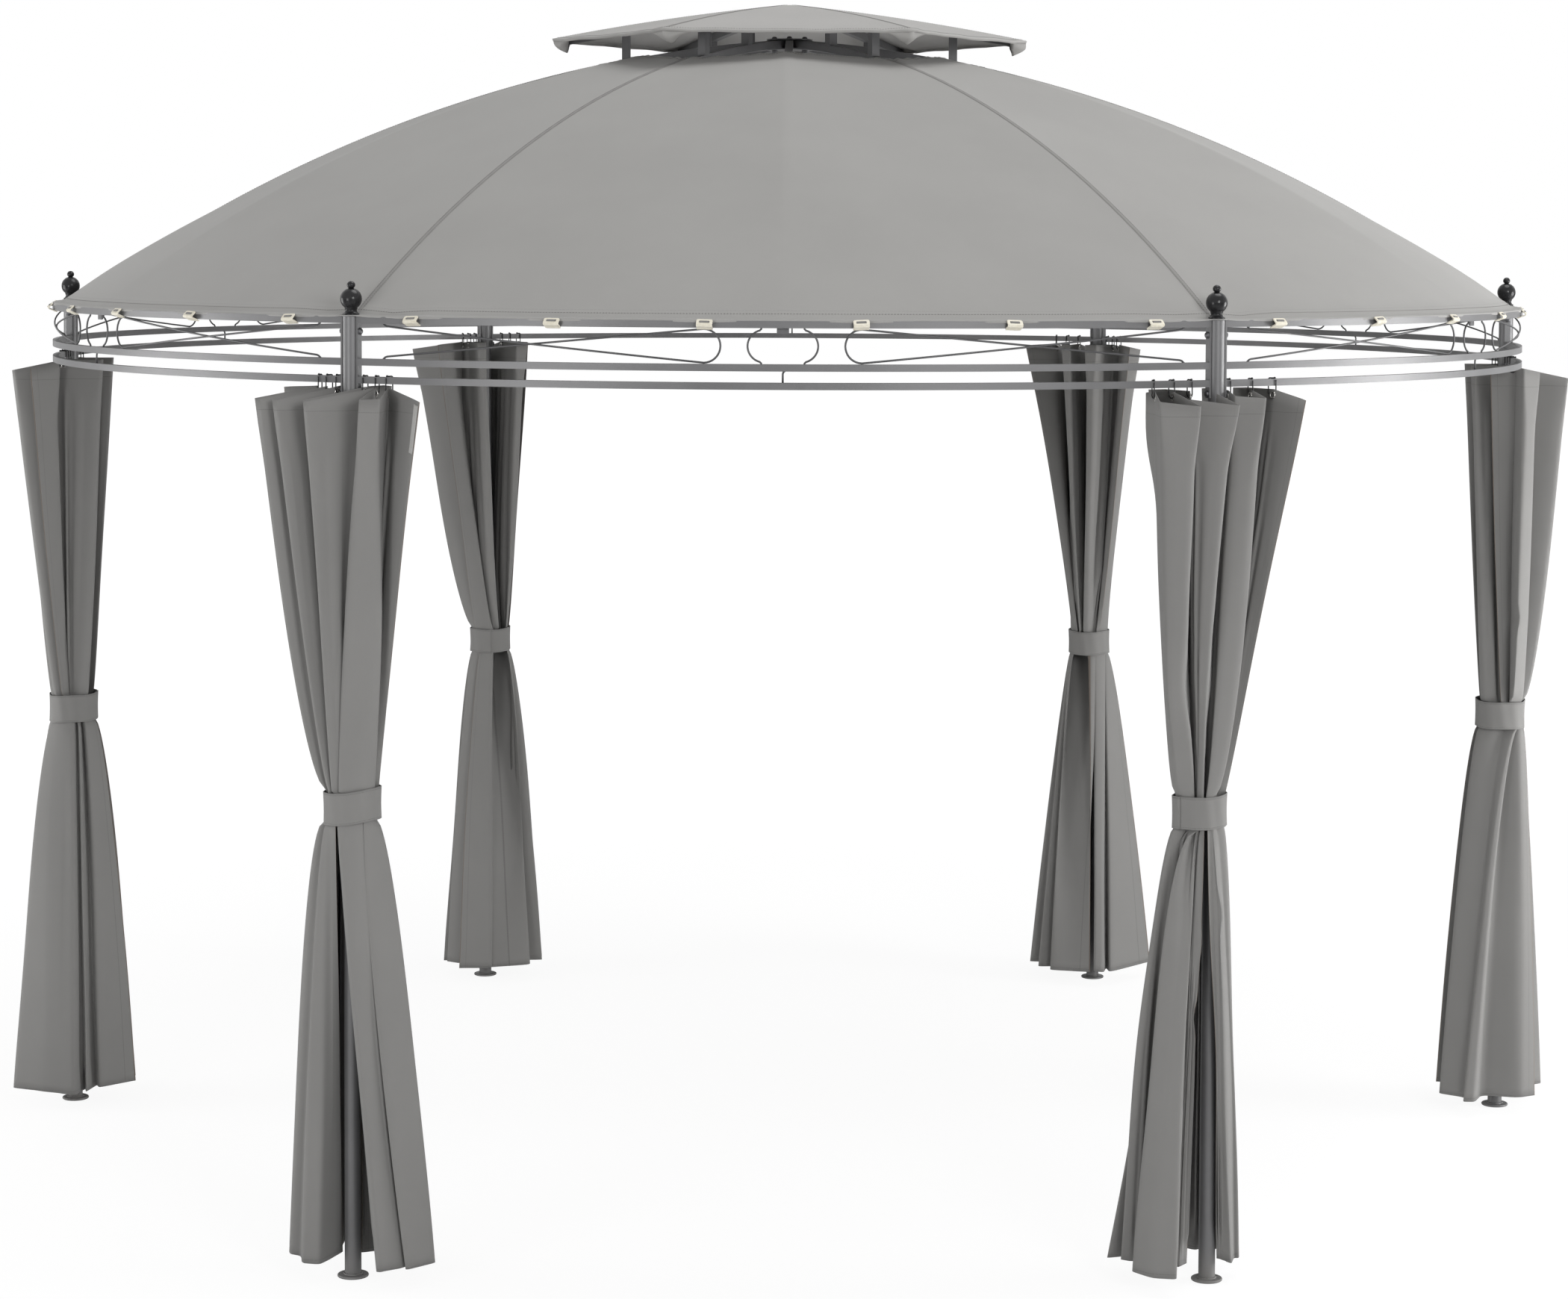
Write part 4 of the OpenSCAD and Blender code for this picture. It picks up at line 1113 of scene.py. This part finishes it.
def hang(number):
    """The rows of points of both panels of a curtain, and their cloth metres."""
    azimuth, (middle, girth) = POSTS[number - 1], BUNDLES[number - 1]
    names = [f"{number}_left", f"{number}_right"]
    chance = np.random.default_rng(20 + number)
    dice = [chance.uniform(0.55, 1.0, columns) for _ in names]
    rows, uv, across = {name: [] for name in names}, {name: [] for name in names}, {}
    for name, loose in zip(names, dice):
        first, last = CALM.get(name, (0, 0))
        loose[int(first * head_step) : int(last * head_step)] = 0
        head = along_line(PANELS[name][0], 0.05)
        run = np.cumsum(np.hypot(*np.diff(head, axis=0).T))
        across[name] = np.concatenate([[0], run]) / length(head) * panel_w

    def line_at(name, above, f):
        head, hem = PANELS[name]
        ends = head if above else hem
        neck, low, pace_up, pace_low = GATHERED.get(name, (None, None, {}, {}))
        neck, low = neck or evenly_gathered(head), low or evenly_gathered(hem)
        paces = pace_up if above else pace_low
        pace = along_line([(paces.get(k, 0.85 if above else 0.62),) for k in range(len(ends))])[:, 0]
        ends = [list(c) for c in ends]
        for dent_above, k, at, tall, ds, dr in DENTS.get(name, ()):
            if dent_above == above:
                push = exp(-(((f - at) / tall) ** 2)) / max(f, 0.1) ** 0.8
                ends[k] = [ends[k][0] + ds * push, ends[k][1] + dr * push]
        softness = 0.36 - (0.31 * smooth(0.80, 1.0, f) if above else 0.10 * smooth(0.5, 1.0, f))
        share = (f**pace)[:, None]
        line = in_bundle(neck if above else low, middle, girth) * (1 - share) + along_line(ends, softness) * share
        seed = 2.1 * number + (3.0 if name.endswith("right") else 0.0)
        turn = np.linspace(0, 2 * pi, columns)
        waver = 2.2 * sin(pi * min(f * 1.02, 1.0)) * np.sin(3 * turn + seed + 4.5 * f + (0 if above else 2))
        return line + np.stack([waver, waver * 0.6], axis=1)

    def add_rows(pair, both_heights):
        for name, line, heights in zip(names, pair, both_heights):
            rows[name].append([on_post(azimuth, s / 1000, r / 1000, h) for (s, r), h in zip(line, heights)])
            uv[name].append([(u, cloth_top - h) for u, h in zip(across[name], heights)])

    for f in 1 - np.linspace(0, 1, 46) ** 0.9:
        pair = packed([line_at(name, True, f) for name in names], dice, 1 - smooth(0.72, 0.95, f))
        corner_droop = 0.006 * smooth(0.7, 1.0, f) * np.clip(1 - np.arange(columns) / 11, 0, 1)
        droops = [0.00021 * np.clip(line[:, 1], 0, 200) * smooth(0.55, 1.0, f) + corner_droop for line in pair]
        add_rows(pair, [tie_top + (cloth_top - tie_top) * f - droop for droop in droops])
    necks, lows = ([line_at(name, above, 0.0) for name in names] for above in (True, False))
    for f in (0.15, 0.35, 0.5, 0.65, 0.85):
        pair = packed([neck * (1 - f) + low * f for neck, low in zip(necks, lows)], dice, 1.0)
        heights = np.full(columns, tie_top + (tie_low - tie_top) * f)
        add_rows([line * pinch + (1 - pinch) * np.array([middle, 0]) for line in pair], [heights] * 2)
    for f in np.linspace(0, 1, 48) ** 1.1:
        pair = packed([line_at(name, False, f) for name in names], dice, 1 - smooth(0.86, 0.98, f))
        uneven = 0.004 * np.sin(np.linspace(0, 9, columns) + number * 1.9) * f
        add_rows(pair, [tie_low + (hem_z + 0.004 - tie_low) * f + uneven] * 2)
    return {name: (rows[name], uv[name]) for name in names}


side_lines = [("across", 0.020, 0.0008), ("across", panel_w - 0.020, 0.0008)]
end_lines = [("down", 0.046, 0.0008), ("down", 1.770, 0.0008)]
curtain_cloth = woven(
    "curtain_weave", (0.213, 0.210, 0.204), 0.86, 0.0010, mottle=0.06, lines=side_lines + end_lines, cloth_w=panel_w
)
nickel = fine_grained(
    "nickel", (0.50, 0.49, 0.47), 0.24, (500.0, 3.0), (0.42, 0.41, 0.39), (0.60, 0.59, 0.57),
    gloss=(0.18, 0.36), Metallic=1.0,
)
eyelet_profile = [(0.0046, -0.0010), (0.0044, 0.0), (0.0046, 0.0010), (0.0054, 0.0016), (0.0068, 0.0015)]
eyelet_profile += [(0.0080, 0.0008), (0.0080, -0.0008), (0.0068, -0.0015), (0.0054, -0.0016)]
eyelet = lathe(eyelet_profile, 24, closed=True)
panels, hung = {}, {}
for number in range(1, 7):
    hung.update(hang(number))
for name, (rows, uv) in hung.items():
    panel = grid_piece(f"curtain_{name}", rows, uv, curtain_cloth, cloth_t)
    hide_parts(f"curtain_{name[0]}")
    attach(panel, "root")
    rings = []
    for k in (1, 4, 7):
        j = k * head_step
        row = next(n for n, line in enumerate(rows) if line[j].z < eyelet_z + 0.004)
        place = Vector((*rows[row][j].xy, eyelet_z))
        tangent = rows[row][j + 2] - rows[row][j - 2]
        normal = tangent.cross(rows[row + 1][j] - rows[row][j]).normalized()
        rings.append((*eyelet, facing(place, normal)))
    eyelets = make_piece(f"eyelets_{name}", *joined(rings), nickel)
    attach(eyelets, "root")
    panels[name] = panel

# ---------------------------------------------------------------- closing tape
# One panel's free edge has a strip of hook tape sewn to its face near the top, which holds
# the curtain shut against its neighbour. It is woven nylon with a short, pale pile.

tape_finish = fine_grained(
    "hook_tape", (0.40, 0.395, 0.38), 0.9, (1100.0, 3.0), (0.31, 0.305, 0.295), (0.47, 0.465, 0.45),
    steep=True, relief=(0.6, 0.0008), Specular_IOR_Level=0.2,
)
rows, uv = hung["5_right"]
grid, across = np.array(rows), np.array(uv[0])[:, 0]
tape, tape_rows, tape_columns = [], 22, 9
for drop in np.linspace(0.008, 0.105, tape_rows):
    line = []
    for u in np.linspace(0.003, 0.022, tape_columns):
        column = np.interp(u, across, np.arange(columns))
        j = int(column)
        strand = grid[:, j] * (1 - column + j) + grid[:, j + 1] * (column - j)
        heights = strand[::-1, 2]
        line.append(Vector([np.interp(strand[0, 2] - drop, heights, strand[::-1, n]) for n in range(3)]))
    tape.append(line)
outward = (tape[0][-1] - tape[0][0]).cross(tape[-1][0] - tape[0][0]).normalized()
outward *= -1 if outward.y > 0 else 1
tape = [[p + outward * 0.0017 for p in line] for line in tape]
tape_uv = [[(0.0024 * n, 0.0046 * m) for n in range(tape_columns)] for m in range(tape_rows)]
strip = grid_piece("closing_tape", tape, tape_uv, tape_finish, 0.0012)
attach(strip, "root")

# ---------------------------------------------------------------- tie bands
# Flat bands of the curtain's cloth, sewn double, wrapped round the folds and the post and
# closed on themselves by hook-and-loop. The end of each lies over its start.

band_lines = [("down", 0.004, 0.0007), ("down", 0.062, 0.0007)]
band_cloth = woven("band_weave", (0.208, 0.205, 0.199), 0.86, 0.0010, lines=band_lines)
band_r, band_h, around, lap = 0.0566, 0.066, 72, 6
for i, (slip, girth) in enumerate(BUNDLES):
    rows, uv = [], []
    for v in np.linspace(0, 1, 13):
        row, row_uv = [], []
        for k in range(around + lap):
            a = 2 * pi * k / around + 0.9 + 0.7 * i
            over = smooth(around - lap, around - 1, k) * 0.0018
            ripple = 0.0010 * sin(5 * a + i) + 0.0006 * sin(11 * a + 2 * i + 2 * v)
            r = band_r * girth + over + ripple - 0.0010 * sin(pi * v)
            tilt = 0.006 * cos(a - 2.1) if i == 4 else 0.003 * sin(a + 1.3 * i)
            z = tie_low + band_h * v + tilt + 0.0010 * sin(3 * a + i)
            row.append(on_post(POSTS[i], slip / 1000 + r * sin(a), r * cos(a), z))
            row_uv.append((r * a, band_h * v))
        rows.append(row)
        uv.append(row_uv)
    band = grid_piece(f"tie_band_{i + 1}", rows, uv, band_cloth, 0.0014)
    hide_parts("tie_bands")
    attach(band, "root")
